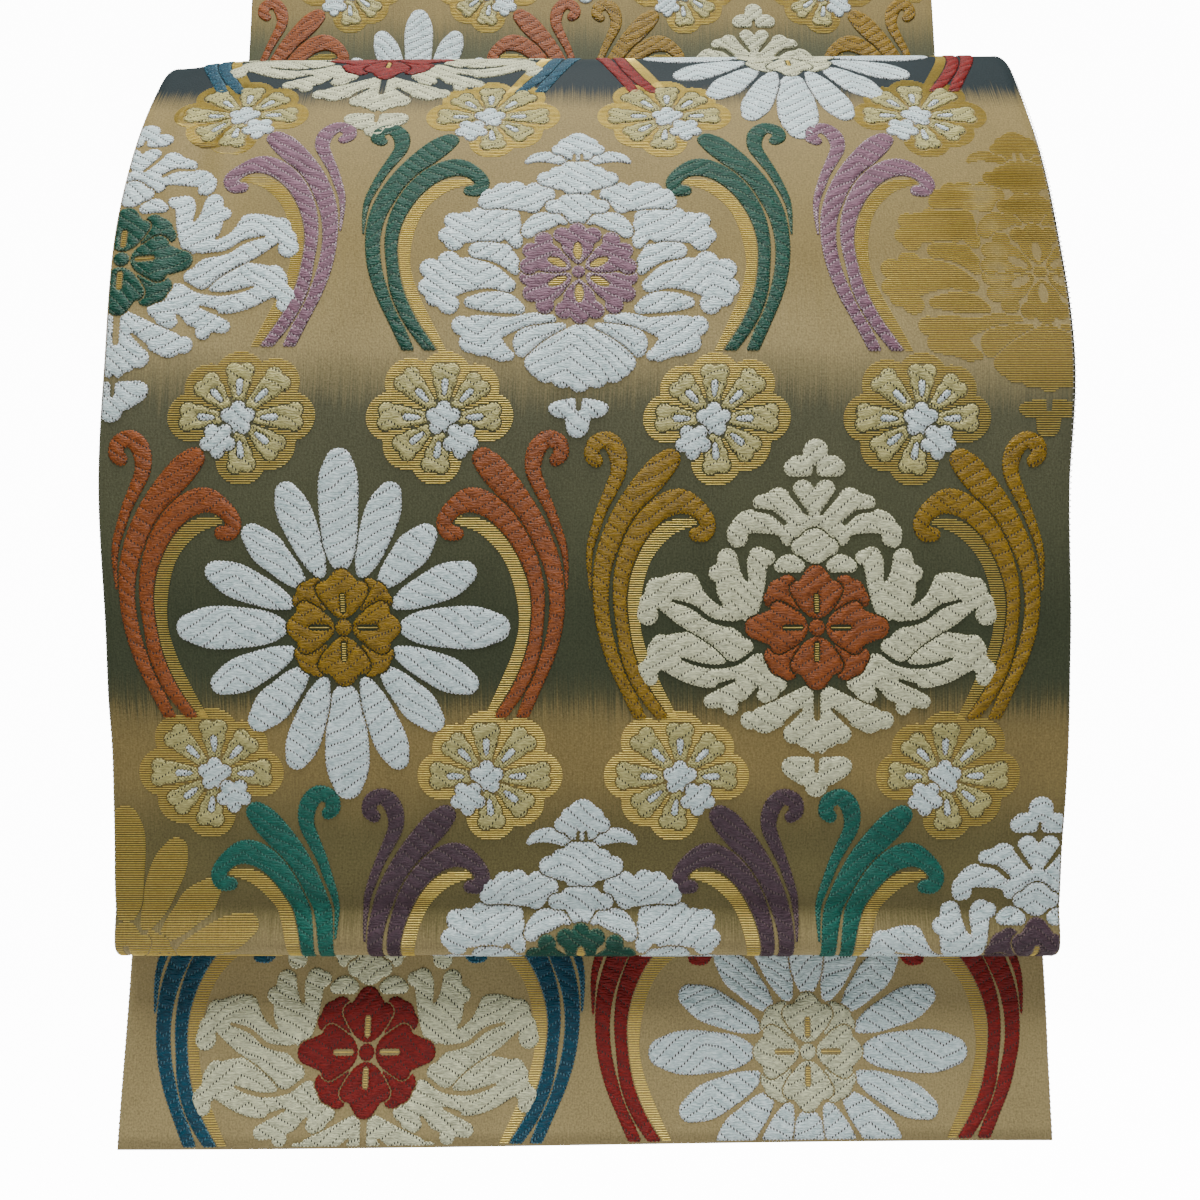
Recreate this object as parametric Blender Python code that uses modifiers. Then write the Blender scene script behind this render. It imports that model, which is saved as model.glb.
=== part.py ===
"""Obi sash hung over a bar and folded into a drum with a tail below it.

The cloth follows one route: it leaves the folded layers behind, turns under them, rises up
the back, goes over the bar, falls as the riser, turns up in a valley, goes over the crown
of the drum, falls down the drum's front, is tucked up behind the hem and falls as the tail.
The face cloth and the lining are two walls side by side along that route.
X is across the cloth, -Y is the front and +Z is up. The origin is where the bar carries it.
"""
import math

import bmesh
import bpy

# ---------------------------------------------------------------- driving dimensions (metres)
CLOTH_WIDTH = 0.310
FACE_WALL = 0.0012
LINING_WALL = 0.0010
GAP = 0.0003
CLOTH_WALL = FACE_WALL + GAP + LINING_WALL

LAYER_COUNT = 6
LAYERS_DEPTH = LAYER_COUNT * CLOTH_WALL

# Radii of the folds, measured on the face side of the cloth.
BAR_RADIUS = 0.5 * LAYERS_DEPTH + GAP + CLOTH_WALL
VALLEY_RADIUS = 0.0092
CROWN_RADIUS = 0.0289
HEM_RADIUS = 0.0053
TUCK_RADIUS = 0.0012

BACK_HEIGHT = 0.500
INNER_HEIGHT = 0.255
RISER_HEIGHT = 0.2335
CROWN_TURN = 128.0
HEM_TURN = 171.5
TUCK_HEIGHT = 0.0352
TAIL_LENGTH = 0.1012

# The crown lies a little lower at its left end, and the tail's left corner hangs lower.
CROWN_TILT = 0.0028
CROWN_FROM_TAIL = 0.500
CROWN_TILT_REACH = 0.110
TAIL_SLANT = 0.0030
TAIL_SLANT_REACH = 0.060

# ---------------------------------------------------------------- fineness of the walls
COLUMNS = 10
LONGEST_STEP = 0.012
WIDEST_TURN = 12.0


def arc(radius, degrees):
    """Length along an arc."""
    return radius * math.radians(abs(degrees))


# The cloth's route. A turn is in degrees: a positive one has the face on its outer side.
ROUTE = (
    # stretch, feature, length, turn
    ("back", "inner fall", INNER_HEIGHT, 0.0),
    ("back", "turn under the layers", arc(BAR_RADIUS, 180.0), 180.0),
    ("back", "rise up the back", BACK_HEIGHT, 0.0),
    ("back", "over the bar", arc(BAR_RADIUS, 180.0), 180.0),
    ("riser", "fall behind the drum", RISER_HEIGHT, 0.0),
    ("riser", "valley", arc(VALLEY_RADIUS, 180.0), -180.0),
    ("drum", "rise inside the drum", 0.0505, 0.0),
    ("drum", "crown", arc(CROWN_RADIUS, CROWN_TURN), CROWN_TURN),
    ("drum", "brow", 0.020, 26.0),
    ("drum", "upper front", 0.035, 6.0),
    ("drum", "upper bulge", 0.055, 12.5),
    ("drum", "lower bulge", 0.060, 16.5),
    ("drum", "middle front", 0.065, 3.0),
    ("drum", "lower front", 0.055, 2.5),
    ("drum", "above the crease", 0.025, -2.0),
    ("drum", "crease at the hem", 0.004, -3.0),
    ("drum", "hem strip", 0.017, -1.0),
    ("drum", "hem fold", arc(HEM_RADIUS, HEM_TURN), HEM_TURN),
    ("drum", "rise of the tuck", TUCK_HEIGHT, 0.0),
    ("drum", "top of the tuck", arc(TUCK_RADIUS, 180.0), -180.0),
    ("tail", "fall of the tail", TAIL_LENGTH, 0.0),
)
ROUTE_LENGTH = sum(length for _, _, length, _ in ROUTE)

# Sideways sway of the cloth, by distance from the tail's end.
SWAY = (
    # distance, shift
    (0.000, -0.0006),
    (0.055, 0.0000),
    (0.168, 0.0002),
    (0.218, 0.0011),
    (0.253, 0.0006),
    (0.303, -0.0008),
    (0.348, 0.0008),
    (0.398, -0.0004),
    (0.490, -0.0003),
    (0.760, 0.0007),
    (0.850, 0.0000),
)

# ---------------------------------------------------------------- the hidden layers
LAYERS_WIDTH = CLOTH_WIDTH - 0.001
LAYERS_TOP = -0.0165
EDGE_GROOVE = 0.0014
END_GROOVE = 0.0022
SLICES_PER_LAYER = 4
CORNER_RADIUS = 0.0008

MATERIALS = (
    # name, colour, roughness, metallic
    ("brocade_face", (0.42, 0.31, 0.17, 1.0), 0.55, 0.0),
    ("plain_lining", (0.055, 0.055, 0.040, 1.0), 0.80, 0.0),
)


def smooth_step(amount):
    """Ease from 0 to 1."""
    amount = min(max(amount, 0.0), 1.0)
    return amount * amount * (3.0 - 2.0 * amount)


def from_table(rows, place):
    """Value at a place in a table of (place, value) rows, eased between the rows."""
    if place <= rows[0][0]:
        return rows[0][1]
    for (low, low_value), (high, high_value) in zip(rows, rows[1:]):
        if place <= high:
            return low_value + (high_value - low_value) * smooth_step((place - low) / (high - low))
    return rows[-1][1]


def route_stations():
    """Stations along the route as (stretch, distance from the tail's end, y, z, heading)."""
    y = -BAR_RADIUS
    z = CLOTH_WALL - BAR_RADIUS - BACK_HEIGHT + INNER_HEIGHT
    heading = 90.0
    left = ROUTE_LENGTH
    stations = []
    for stretch, _, length, turn in ROUTE:
        steps = max(1, math.ceil(length / LONGEST_STEP), math.ceil(abs(turn) / WIDEST_TURN))
        if not stations or stations[-1][0] != stretch:
            stations.append((stretch, left, y, z, heading))
        for _ in range(steps):
            chord_heading = math.radians(heading + 0.5 * turn / steps)
            half_turn = math.radians(0.5 * turn / steps)
            chord = length / steps
            if turn:
                chord *= math.sin(half_turn) / half_turn
            y -= chord * math.cos(chord_heading)
            z -= chord * math.sin(chord_heading)
            heading += turn / steps
            left -= length / steps
            stations.append((stretch, left, y, z, heading))
    return stations


def trim_ends(stations):
    """Draw the two ends of a stretch in by half a seam's gap."""
    trimmed = list(stations)
    for end, inward in ((0, 1), (-1, -1)):
        stretch, left, y, z, heading = trimmed[end]
        y -= inward * 0.5 * GAP * math.cos(math.radians(heading))
        z -= inward * 0.5 * GAP * math.sin(math.radians(heading))
        trimmed[end] = (stretch, left, y, z, heading)
    return trimmed


def lean(across, from_tail):
    """How far the cloth hangs below its route at one place."""
    crown_share = 1.0 - smooth_step(abs(from_tail - CROWN_FROM_TAIL) / CROWN_TILT_REACH)
    tail_share = 1.0 - smooth_step(from_tail / TAIL_SLANT_REACH)
    left_share = 0.5 - across / CLOTH_WIDTH
    return CROWN_TILT * left_share * crown_share + TAIL_SLANT * smooth_step(left_share) * tail_share


def cloth_point(across, station, depth):
    """A point of the cloth, a depth below its face."""
    _, left, y, z, heading = station
    turned = math.radians(heading)
    return (
        across + from_table(SWAY, left),
        y + depth * math.sin(turned),
        z - depth * math.cos(turned) - lean(across, left),
    )


def make_material(name, colour, roughness, metallic):
    """Plain surface with one colour."""
    material = bpy.data.materials.new(name)
    material.use_nodes = True
    surface = material.node_tree.nodes["Principled BSDF"]
    surface.inputs["Base Color"].default_value = colour
    surface.inputs["Roughness"].default_value = roughness
    surface.inputs["Metallic"].default_value = metallic
    return material


def add_object(name, mesh_data, material, collection):
    """Object of a finished bmesh, in the sash's collection."""
    mesh = bpy.data.meshes.new(name)
    mesh_data.to_mesh(mesh)
    mesh_data.free()
    mesh.materials.append(material)
    piece = bpy.data.objects.new(name, mesh)
    collection.objects.link(piece)
    return piece


def make_wall(name, stations, depth, thickness, material, collection):
    """One stretch of one cloth: a grid laid on the route, then given its thickness."""
    rows = len(stations) - 1
    grid = bmesh.new()
    bmesh.ops.create_grid(grid, x_segments=COLUMNS, y_segments=rows, size=0.5)
    for vertex in grid.verts:
        station = stations[round((vertex.co.y + 0.5) * rows)]
        vertex.co = cloth_point(vertex.co.x * CLOTH_WIDTH, station, depth)
    piece = add_object(name, grid, material, collection)
    wall = piece.modifiers.new("wall", "SOLIDIFY")
    wall.thickness = thickness
    wall.offset = 1.0
    return piece


def layer_slice(depth):
    """Half width, top and bottom of the folded layers at one depth from their front."""
    layer_place = depth / CLOTH_WALL
    pair_place = 0.5 * layer_place
    edge_round = abs(math.sin(math.pi * layer_place))
    top_round = abs(math.sin(math.pi * pair_place))
    off_middle = depth - 0.5 * LAYERS_DEPTH
    bottom_bow = math.sqrt(max(0.0, (0.5 * LAYERS_DEPTH) ** 2 - off_middle ** 2))
    half_width = 0.5 * LAYERS_WIDTH - EDGE_GROOVE * (1.0 - edge_round)
    top = LAYERS_TOP - END_GROOVE * (1.0 - top_round)
    bottom = CLOTH_WALL - BAR_RADIUS - BACK_HEIGHT - bottom_bow
    return half_width, top, bottom


def rounded_corners(half_width, top, bottom):
    """Outline of one slice, (x, z), with its four corners cut."""
    cut = CORNER_RADIUS
    return (
        (half_width - cut, bottom),
        (half_width, bottom + cut),
        (half_width, top - cut),
        (half_width - cut, top),
        (cut - half_width, top),
        (-half_width, top - cut),
        (-half_width, bottom + cut),
        (cut - half_width, bottom),
    )


def make_inner_folds(material, collection):
    """The hidden layers: slices from front to back, lofted, grooved where two layers meet."""
    front = CLOTH_WALL + GAP - BAR_RADIUS
    slice_count = LAYER_COUNT * SLICES_PER_LAYER
    block = bmesh.new()
    rings = []
    for index in range(slice_count + 1):
        depth = LAYERS_DEPTH * index / slice_count
        outline = rounded_corners(*layer_slice(depth))
        rings.append([block.verts.new((x, front + depth, z)) for x, z in outline])
    for ring, following in zip(rings, rings[1:]):
        for corner, vertex in enumerate(ring):
            following_corner = (corner + 1) % len(ring)
            block.faces.new((vertex, ring[following_corner], following[following_corner],
                             following[corner]))
    block.faces.new(rings[0][::-1])
    block.faces.new(rings[-1])
    bmesh.ops.recalc_face_normals(block, faces=block.faces)
    return add_object("inner_folds", block, material, collection)


def main():
    for leftover in list(bpy.data.objects):
        bpy.data.objects.remove(leftover, do_unlink=True)
    collection = bpy.data.collections.new("obi_sash")
    bpy.context.scene.collection.children.link(collection)
    face_material, lining_material = [make_material(*row) for row in MATERIALS]

    stations = route_stations()
    for stretch in ("tail", "drum", "riser", "back"):
        stretch_stations = trim_ends([row for row in stations if row[0] == stretch])
        make_wall("face_" + stretch, stretch_stations, 0.0, FACE_WALL, face_material, collection)
        make_wall("lining_" + stretch, stretch_stations, FACE_WALL + GAP, LINING_WALL,
                  lining_material, collection)
    make_inner_folds(lining_material, collection)


main()
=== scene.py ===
"""Looks of a hanging obi sash: brocade face, plain lining, silk floats and gold thread.

The cloth follows the same route as its solids. Everything woven or sewn on it is drawn flat,
in the pattern's own plane, and then laid on that route.
"""
import math

import bmesh
import bpy
import numpy as np
from bpy.props import FloatProperty, FloatVectorProperty, IntProperty, PointerProperty
from bpy.types import Operator, Panel, PropertyGroup
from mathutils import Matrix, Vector
from mathutils.geometry import delaunay_2d_cdt


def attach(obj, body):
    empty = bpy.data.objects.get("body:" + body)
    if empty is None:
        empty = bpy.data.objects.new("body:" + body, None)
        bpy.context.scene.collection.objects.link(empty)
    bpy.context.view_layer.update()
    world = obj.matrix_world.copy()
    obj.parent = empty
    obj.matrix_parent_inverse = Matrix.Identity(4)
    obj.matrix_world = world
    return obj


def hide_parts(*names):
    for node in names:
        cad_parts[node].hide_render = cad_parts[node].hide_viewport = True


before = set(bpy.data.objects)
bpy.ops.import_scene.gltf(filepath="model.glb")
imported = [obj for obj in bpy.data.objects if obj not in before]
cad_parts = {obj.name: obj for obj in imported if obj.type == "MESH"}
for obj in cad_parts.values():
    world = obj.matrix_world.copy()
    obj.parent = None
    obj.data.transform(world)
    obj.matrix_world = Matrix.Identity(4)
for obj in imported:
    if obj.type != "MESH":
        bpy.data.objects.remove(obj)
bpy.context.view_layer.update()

bl_info = {
    "name": "Obi sash",
    "version": (1, 0, 0),
    "blender": (4, 5, 0),
    "location": "3D View > Sidebar > Obi sash",
    "description": "Builds the brocade, lining and thread of a hanging obi sash",
    "category": "Add Mesh",
}

CM = 0.01
MM = 0.001
CM_PER_METRE = 100.0

# ================================================================ the cloth's route (metres)
CLOTH_WIDTH = 0.310
FACE_WALL = 0.0012
LINING_WALL = 0.0010
GAP = 0.0003
CLOTH_WALL = FACE_WALL + GAP + LINING_WALL
LAYER_COUNT = 6
LAYERS_DEPTH = LAYER_COUNT * CLOTH_WALL
LAYERS_WIDTH = CLOTH_WIDTH - 0.001
LAYERS_TOP = -0.0165
BAR_RADIUS = 0.5 * LAYERS_DEPTH + GAP + CLOTH_WALL
VALLEY_RADIUS = 0.0092
CROWN_RADIUS = 0.0289
HEM_RADIUS = 0.0053
TUCK_RADIUS = 0.0012
BACK_HEIGHT = 0.500
INNER_HEIGHT = 0.255

CROWN_TILT = 0.0028
CROWN_FROM_TAIL = 0.500
CROWN_TILT_REACH = 0.110
TAIL_SLANT = 0.0030
TAIL_SLANT_REACH = 0.060
CORNER_DROOP = 0.0030
CORNER_REACH = 0.024
CORNER_FROM_TAIL = 0.508
CORNER_LENGTH = 0.075


def arc(radius, degrees):
    """Length along an arc."""
    return radius * math.radians(abs(degrees))


ROUTE = (
    # feature, length, turn in degrees (a positive one has the face on its outer side)
    ("inner fall", INNER_HEIGHT, 0.0),
    ("turn under the layers", arc(BAR_RADIUS, 180.0), 180.0),
    ("rise up the back", BACK_HEIGHT, 0.0),
    ("over the bar", arc(BAR_RADIUS, 180.0), 180.0),
    ("fall behind the drum", 0.2335, 0.0),
    ("valley", arc(VALLEY_RADIUS, 180.0), -180.0),
    ("rise inside the drum", 0.0505, 0.0),
    ("crown", arc(CROWN_RADIUS, 128.0), 128.0),
    ("brow", 0.020, 26.0),
    ("upper front", 0.035, 6.0),
    ("upper bulge", 0.055, 12.5),
    ("lower bulge", 0.060, 16.5),
    ("middle front", 0.065, 3.0),
    ("lower front", 0.055, 2.5),
    ("above the crease", 0.025, -2.0),
    ("crease at the hem", 0.004, -3.0),
    ("hem strip", 0.017, -1.0),
    ("hem fold", arc(HEM_RADIUS, 171.5), 171.5),
    ("rise of the tuck", 0.0352, 0.0),
    ("top of the tuck", arc(TUCK_RADIUS, 180.0), -180.0),
    ("fall of the tail", 0.1012, 0.0),
)
ROUTE_LENGTH = sum(length for _, length, _ in ROUTE)

SWAY = (
    # distance from the tail's end, shift
    (0.000, -0.0006),
    (0.055, 0.0000),
    (0.168, 0.0002),
    (0.218, 0.0011),
    (0.253, 0.0006),
    (0.303, -0.0008),
    (0.348, 0.0008),
    (0.398, -0.0004),
    (0.490, -0.0003),
    (0.760, 0.0007),
    (0.850, 0.0000),
)

# Where the lining peeps out beyond the face at the right-hand edge.
LINING_PEEP = 0.0013
PEEP_MIDDLE = 0.385
PEEP_LENGTH = 0.230
RING_ANGLES = (45.0, 0.0, -45.0)

# How an edge stitch wraps the edge, and how far it slants, as a share of the stitches' pitch.
STITCH_PATH = (
    # inward of the edge, rise, share of the slant
    (0.0006, 0.0001, 0.0),
    (-0.0001, -0.5 * FACE_WALL, 0.33),
    (-0.0002, -FACE_WALL - GAP, 0.6),
    (0.0004, -CLOTH_WALL - 0.0001, 1.0),
)
STITCH_SLANT = 0.6

# ================================================================ the pattern's plane (cm)
# x is across the cloth, and "down" runs down its front. The tail ends at TAIL_DOWN.
TAIL_DOWN = 25.8
CREASES = (
    # name, across, down, length, width, turn from lengthwise (degrees), rise in mm
    ("swell above the hem", 0.0, 8.10, 44.0, 0.66, 90.0, 0.55),
    ("trough above the hem", 0.0, 9.06, 44.0, 0.30, 90.0, -0.95),
    ("lip below the trough", 0.0, 10.05, 44.0, 0.54, 90.0, 1.30),
    ("left wrinkle", -14.1, -15.0, 11.0, 0.38, 1.0, 0.75),
    ("left trough", -13.2, -14.2, 12.0, 0.45, -2.0, -0.80),
    ("second left wrinkle", -12.3, -15.2, 9.0, 0.36, 3.0, 0.65),
    ("third left wrinkle", -10.9, -16.5, 6.0, 0.5, -3.0, 0.28),
    ("right wrinkle", 13.2, -14.0, 9.0, 0.6, 2.0, 0.30),
    ("soft hollow of the front", -3.5, -2.5, 22.0, 3.2, 82.0, -0.45),
    ("soft swell of the front", 4.0, 4.6, 26.0, 2.6, 95.0, 0.40),
    ("low wave, right", 7.0, 5.1, 15.0, 0.8, 84.0, 0.36),
    ("low wave, left", -9.0, 3.9, 14.0, 0.8, 97.0, 0.32),
    ("low hollow, right", 10.5, 7.1, 13.0, 0.7, 93.0, -0.34),
    ("low hollow, left", -4.0, 7.0, 15.0, 0.8, 86.0, -0.32),
    ("left swell", -13.8, 2.1, 5.0, 0.8, 92.0, 0.45),
    ("left dent", -14.2, 3.9, 5.0, 0.9, 86.0, -0.55),
    ("right swell", 13.0, 2.2, 6.0, 0.8, 100.0, 0.50),
    ("right dent", 12.4, 4.2, 7.0, 0.9, 72.0, -0.55),
    ("tail's soft fold", 2.0, 21.5, 24.0, 0.9, 84.0, 0.25),
    ("tail's right crease", 14.2, 23.4, 4.0, 0.35, 100.0, -0.40),
    ("upper back fold", 1.0, -76.0, 40.0, 0.35, 90.0, 0.30),
    ("upper back wrinkle", -11.5, -84.0, 12.0, 0.5, 4.0, 0.40),
    ("back trough", 9.0, -88.0, 14.0, 0.6, -5.0, -0.40),
    ("middle back fold", -1.0, -97.0, 40.0, 0.35, 90.0, -0.30),
    ("lower back wrinkle", 12.4, -104.0, 11.0, 0.45, 3.0, 0.40),
    ("inner fall's trough", -6.0, -128.0, 12.0, 0.6, 5.0, -0.30),
)

# Places across the cloth, in metres: the face's columns stand closer where wrinkles run down it.
FACE_COLUMNS = np.concatenate((np.linspace(-0.155, -0.100, 23), np.linspace(-0.100, 0.100, 37)[1:],
                               np.linspace(0.100, 0.155, 17)[1:]))
LINING_COLUMNS = np.linspace(-0.155, 0.155, 25)
# Stretches with closer rows, from the tail's end: the hem, then the folds across the back.
CREASED_STRETCHES = ((0.152, 0.187), (1.008, 1.028), (1.218, 1.238))
CREASED_STEP = 0.0010
# Longest step (metres) and widest turn (degrees) between a cloth's other rows.
FACE_ROWS = (0.0048, 7.0)
LINING_ROWS = (0.0070, 10.0)
PATH_ROWS = (0.002, 3.0)
LAYER_COLUMNS = 8
LAYER_POINTS = 13
LAYER_TURN = 20

SPINE_STEPS = 5
FIELD_STEP = 0.04
FIELD_MARGIN = 0.20
LEAF_MARGIN = 0.1
FILL_TOLERANCE = 1e-5
MOATS = {"streak": 0.022, "slit": 0.040}
MOAT = 0.042
RIM_WIDTH = 0.05
# A patch has a ring of points inside its rim, and rows of points over its middle.
RING_SHARE = 1.7
SHORTEST_RING_STEP = 0.15
MIDDLE_SHARE = 2.6
SHORTEST_STRIDE = 6
WOVEN_STEP = 0.014
WOVEN_SPACING = 0.07
SHORTEST_LOOP = 0.35
PATTERN_HALF_WIDTH = 15.43
FLOWER_REACH = (-8.0, -7.0, 8.0, 9.4)

# Stretches of the cloth that carry the pattern, clear of the narrow tuck behind the hem.
PATTERN_STRETCHES = ((-142.6, 12.7), (18.4, 25.72))

DETAIL = (
    # down to, spacing of outline points
    (-118.0, 0.28),
    (-62.0, 0.15),
    (-40.5, 0.10),
    (-29.0, 0.28),
    (TAIL_DOWN, 0.066),
)

# Gold lines: shortest line, longest stretch between its points, and its rise (metres).
SHORTEST_GOLD = 0.05
GOLD_STEP = 1.6
GOLD_RISE = 0.00006
GOLD_FRONT_ENDS = -40.0

ROW_REPEAT = 46.0
# Past the crown the rows were beaten a little looser.
LOOSE_FROM = -40.0
LOOSE_SHIFT = -0.4
FLOWER_ROWS = (
    # down, then flowers: (across, down from the row, kind, petals, centre, scrolls, then how far
    # the blossoms and scrolls beside it stand in and up)
    (22.9, ((-7.36, 0.0, "karahana", "cream", "red", "blue", 0.08, 0.0),
            (7.42, 0.08, "daisy", "white", "cream", "red", 0.06, 0.0))),
    (11.35, ((-15.10, 0.0, "shadow daisy", "gold", "gold", "teal", 0.40, 0.15),
             (-0.22, 0.0, "peony", "white", "green", "purple", 0.22, 0.05),
             (14.70, 0.0, "karahana", "white", "purple", "teal", 0.14, 0.05))),
    (-0.2, ((-7.84, 0.0, "daisy", "white", "mustard", "orange", 0.08, 0.04),
            (7.33, 0.0, "karahana", "cream", "orange", "mustard", 0.05, 0.0))),
    (-11.8, ((-15.15, -0.45, "karahana", "white", "green", "mauve", 0.20, -0.10),
             (-0.28, 0.0, "peony", "white", "mauve", "green", 0.24, 0.22),
             (14.70, 0.0, "shadow peony", "gold", "gold", "mauve", 0.20, 0.20))),
)

GROUND_BANDS = (
    # down, colour: each stretch between two rows eases from one colour to the next
    (-139.0, "tan"),
    (-136.5, "olive"),
    (-129.0, "slate"),
    (-127.0, "tan"),
    (-113.5, "olive"),
    (-107.0, "slate"),
    (-104.5, "tan"),
    (-95.0, "tan"),
    (-92.5, "olive"),
    (-84.5, "slate"),
    (-82.5, "tan"),
    (-52.2, "tan"),
    (-50.4, "olive"),
    (-42.0, "slate"),
    (-40.0, "tan"),
    (-31.0, "tan"),
    (-28.5, "olive"),
    (-23.0, "slate"),
    (-20.1, "slate"),
    (-19.4, "tan"),
    (-12.5, "tan"),
    (-9.3, "sand"),
    (-7.2, "grey"),
    (-3.6, "olive"),
    (-0.6, "deep"),
    (1.9, "deep"),
    (2.9, "tan"),
    (4.6, "tan"),
    # Painted shade: the darker brown band just above the hem's crease.
    (6.6, "shaded_brown"),
    (9.2, "shaded_brown"),
    # The paler sand from here down is the dye, lightened as painted light on the hem strip below
    # the crease.
    (10.4, "sand"),
    (TAIL_DOWN, "sand"),
)


# ================================================================ motifs
# A stroke is a row of (x, y, width) points, y up, and a leaf is one or more strokes.
DAISY_PETALS = (
    # angle, reach, width
    (90.0, 5.73, 1.28), (69.0, 4.97, 1.12), (47.0, 4.42, 1.10), (24.0, 4.72, 1.12),
    (0.0, 5.34, 1.38), (-24.5, 4.70, 1.12), (-47.0, 4.48, 1.14), (-69.0, 4.92, 1.08),
    (-90.0, 5.60, 1.42),
)

# A middle leaf is a row of its strokes across or along x = 0, then a row of the strokes that
# are drawn on the left and mirrored.
PEONY_MIDDLE = (
    # inner top fan
    ((((0.0, 1.96, 0.46), (0.0, 2.44, 0.96), (0.0, 2.68, 0.64)),
      ((-0.78, 2.52, 0.48), (0.78, 2.52, 0.48)), ((-0.34, 2.72, 0.52), (0.34, 2.72, 0.52))), ()),
    # tall top fan
    ((((0.0, 3.26, 0.80), (0.0, 3.72, 1.26), (0.0, 4.04, 0.86)),
      ((-0.66, 3.98, 0.52), (0.66, 3.98, 0.52)), ((-0.26, 4.20, 0.54), (0.26, 4.20, 0.54))),
     (((-0.60, 3.64, 0.72), (-1.04, 3.72, 0.56)),)),
    # finial
    ((((0.0, 4.80, 0.40), (0.0, 5.28, 1.00), (0.0, 5.56, 0.72)),
      ((-0.64, 5.10, 0.44), (0.64, 5.10, 0.44)), ((-0.38, 5.38, 0.54), (0.38, 5.38, 0.54)),
      ((-0.26, 4.86, 0.44), (0.26, 4.86, 0.44))), ()),
    # bottom fan
    ((((0.0, -2.94, 1.10), (0.0, -3.74, 0.64)), ((-1.36, -3.36, 0.40), (1.36, -3.36, 0.40))),
     (((0.0, -2.04, 0.40), (-0.84, -2.66, 0.64), (-1.42, -3.14, 0.60)),
      ((0.0, -2.04, 0.40), (-0.58, -2.80, 0.86), (-1.06, -3.42, 0.66)),
      ((0.0, -2.10, 0.40), (-0.28, -2.94, 1.00), (-0.54, -3.60, 0.64)))),
    # pendant
    ((((0.0, -4.80, 0.76), (0.0, -5.18, 0.66)),),
     (((-0.20, -4.58, 0.50), (-0.56, -4.64, 0.48), (-0.76, -4.62, 0.30)),)),
)
PEONY_STRETCH = 1.015
PEONY_GROWTH = 0.08
PEONY_SLITS = (
    ((0.0, -4.18, 0.14), (0.0, -4.62, 0.10)),
    ((-0.14, 4.56, 0.05), (-0.12, 4.86, 0.03)),
    ((0.14, 4.56, 0.05), (0.12, 4.86, 0.03)),
)
PEONY_SIDE = (
    # leaf by the inner top fan
    (((-1.58, 1.50, 0.42), (-1.46, 1.70, 0.52), (-1.16, 1.90, 0.66), (-0.74, 2.00, 0.44)),
     ((-0.42, 1.94, 0.26),)),
    # leaf inside the shoulder
    (((-3.24, 0.78, 0.50), (-2.74, 0.74, 0.62), (-2.32, 0.52, 0.60), (-1.98, 0.10, 0.38)),
     ((-3.16, 0.86, 0.40),), ((-2.36, 0.76, 0.46),)),
    # leaf inside the low side fan
    (((-3.48, -1.10, 0.30), (-2.94, -1.08, 0.60), (-2.36, -1.12, 0.62), (-1.90, -1.32, 0.28)),),
    # leaf beside the bottom fan
    (((-0.58, -1.96, 0.24), (-1.14, -2.12, 0.44), (-1.72, -2.38, 0.66), (-1.82, -2.70, 0.44)),
     ((-1.64, -2.70, 0.40),)),
    # wing of the finial
    (((-1.70, 4.50, 0.10), (-1.42, 4.70, 0.32), (-0.96, 4.74, 0.44), (-0.50, 4.58, 0.36)),),
    # upper cloud
    (((-2.96, 2.72, 0.54), (-2.40, 2.92, 0.88), (-1.60, 2.86, 0.94), (-1.06, 3.00, 0.60)),
     ((-2.94, 3.02, 0.42),), ((-2.46, 3.20, 0.60),), ((-2.04, 3.26, 0.60),),
     ((-1.40, 3.22, 0.58),), ((-1.06, 3.24, 0.50),), ((-1.46, 2.56, 0.54),)),
    # shoulder fan
    (((-3.72, 1.60, 1.00), (-3.04, 1.74, 1.14), (-2.44, 1.78, 1.06), (-2.12, 1.50, 0.66),
      (-1.98, 1.06, 0.34)),
     ((-4.02, 1.94, 0.56),), ((-3.66, 2.00, 0.50),), ((-3.20, 2.16, 0.58),),
     ((-2.70, 2.14, 0.56),), ((-2.16, 2.08, 0.54),), ((-4.20, 1.36, 0.54),),
     ((-3.98, 1.10, 0.56),), ((-2.62, 1.34, 0.46),)),
    # great side fan
    (((-2.24, -0.50, 0.40), (-2.90, -0.16, 0.80), (-3.70, -0.12, 1.16), (-4.26, -0.30, 1.26)),
     ((-4.14, 0.38, 0.66),), ((-4.72, 0.10, 0.66),), ((-4.80, -0.56, 0.58),),
     ((-4.60, -0.94, 0.52),), ((-4.16, -1.16, 0.62),), ((-3.54, 0.22, 0.52),),
     ((-2.36, -0.62, 0.34),)),
    # low side fan
    (((-0.92, -1.70, 0.28), (-1.50, -1.66, 0.32), (-2.16, -1.86, 0.42), (-2.90, -2.02, 0.84),
      (-3.28, -2.06, 0.94)),
     ((-3.74, -1.90, 0.58),), ((-3.48, -2.46, 0.62),), ((-3.14, -2.58, 0.60),),
     ((-2.90, -2.48, 0.84), (-2.48, -2.82, 0.48)), ((-2.24, -2.90, 0.26),)),
)

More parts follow.
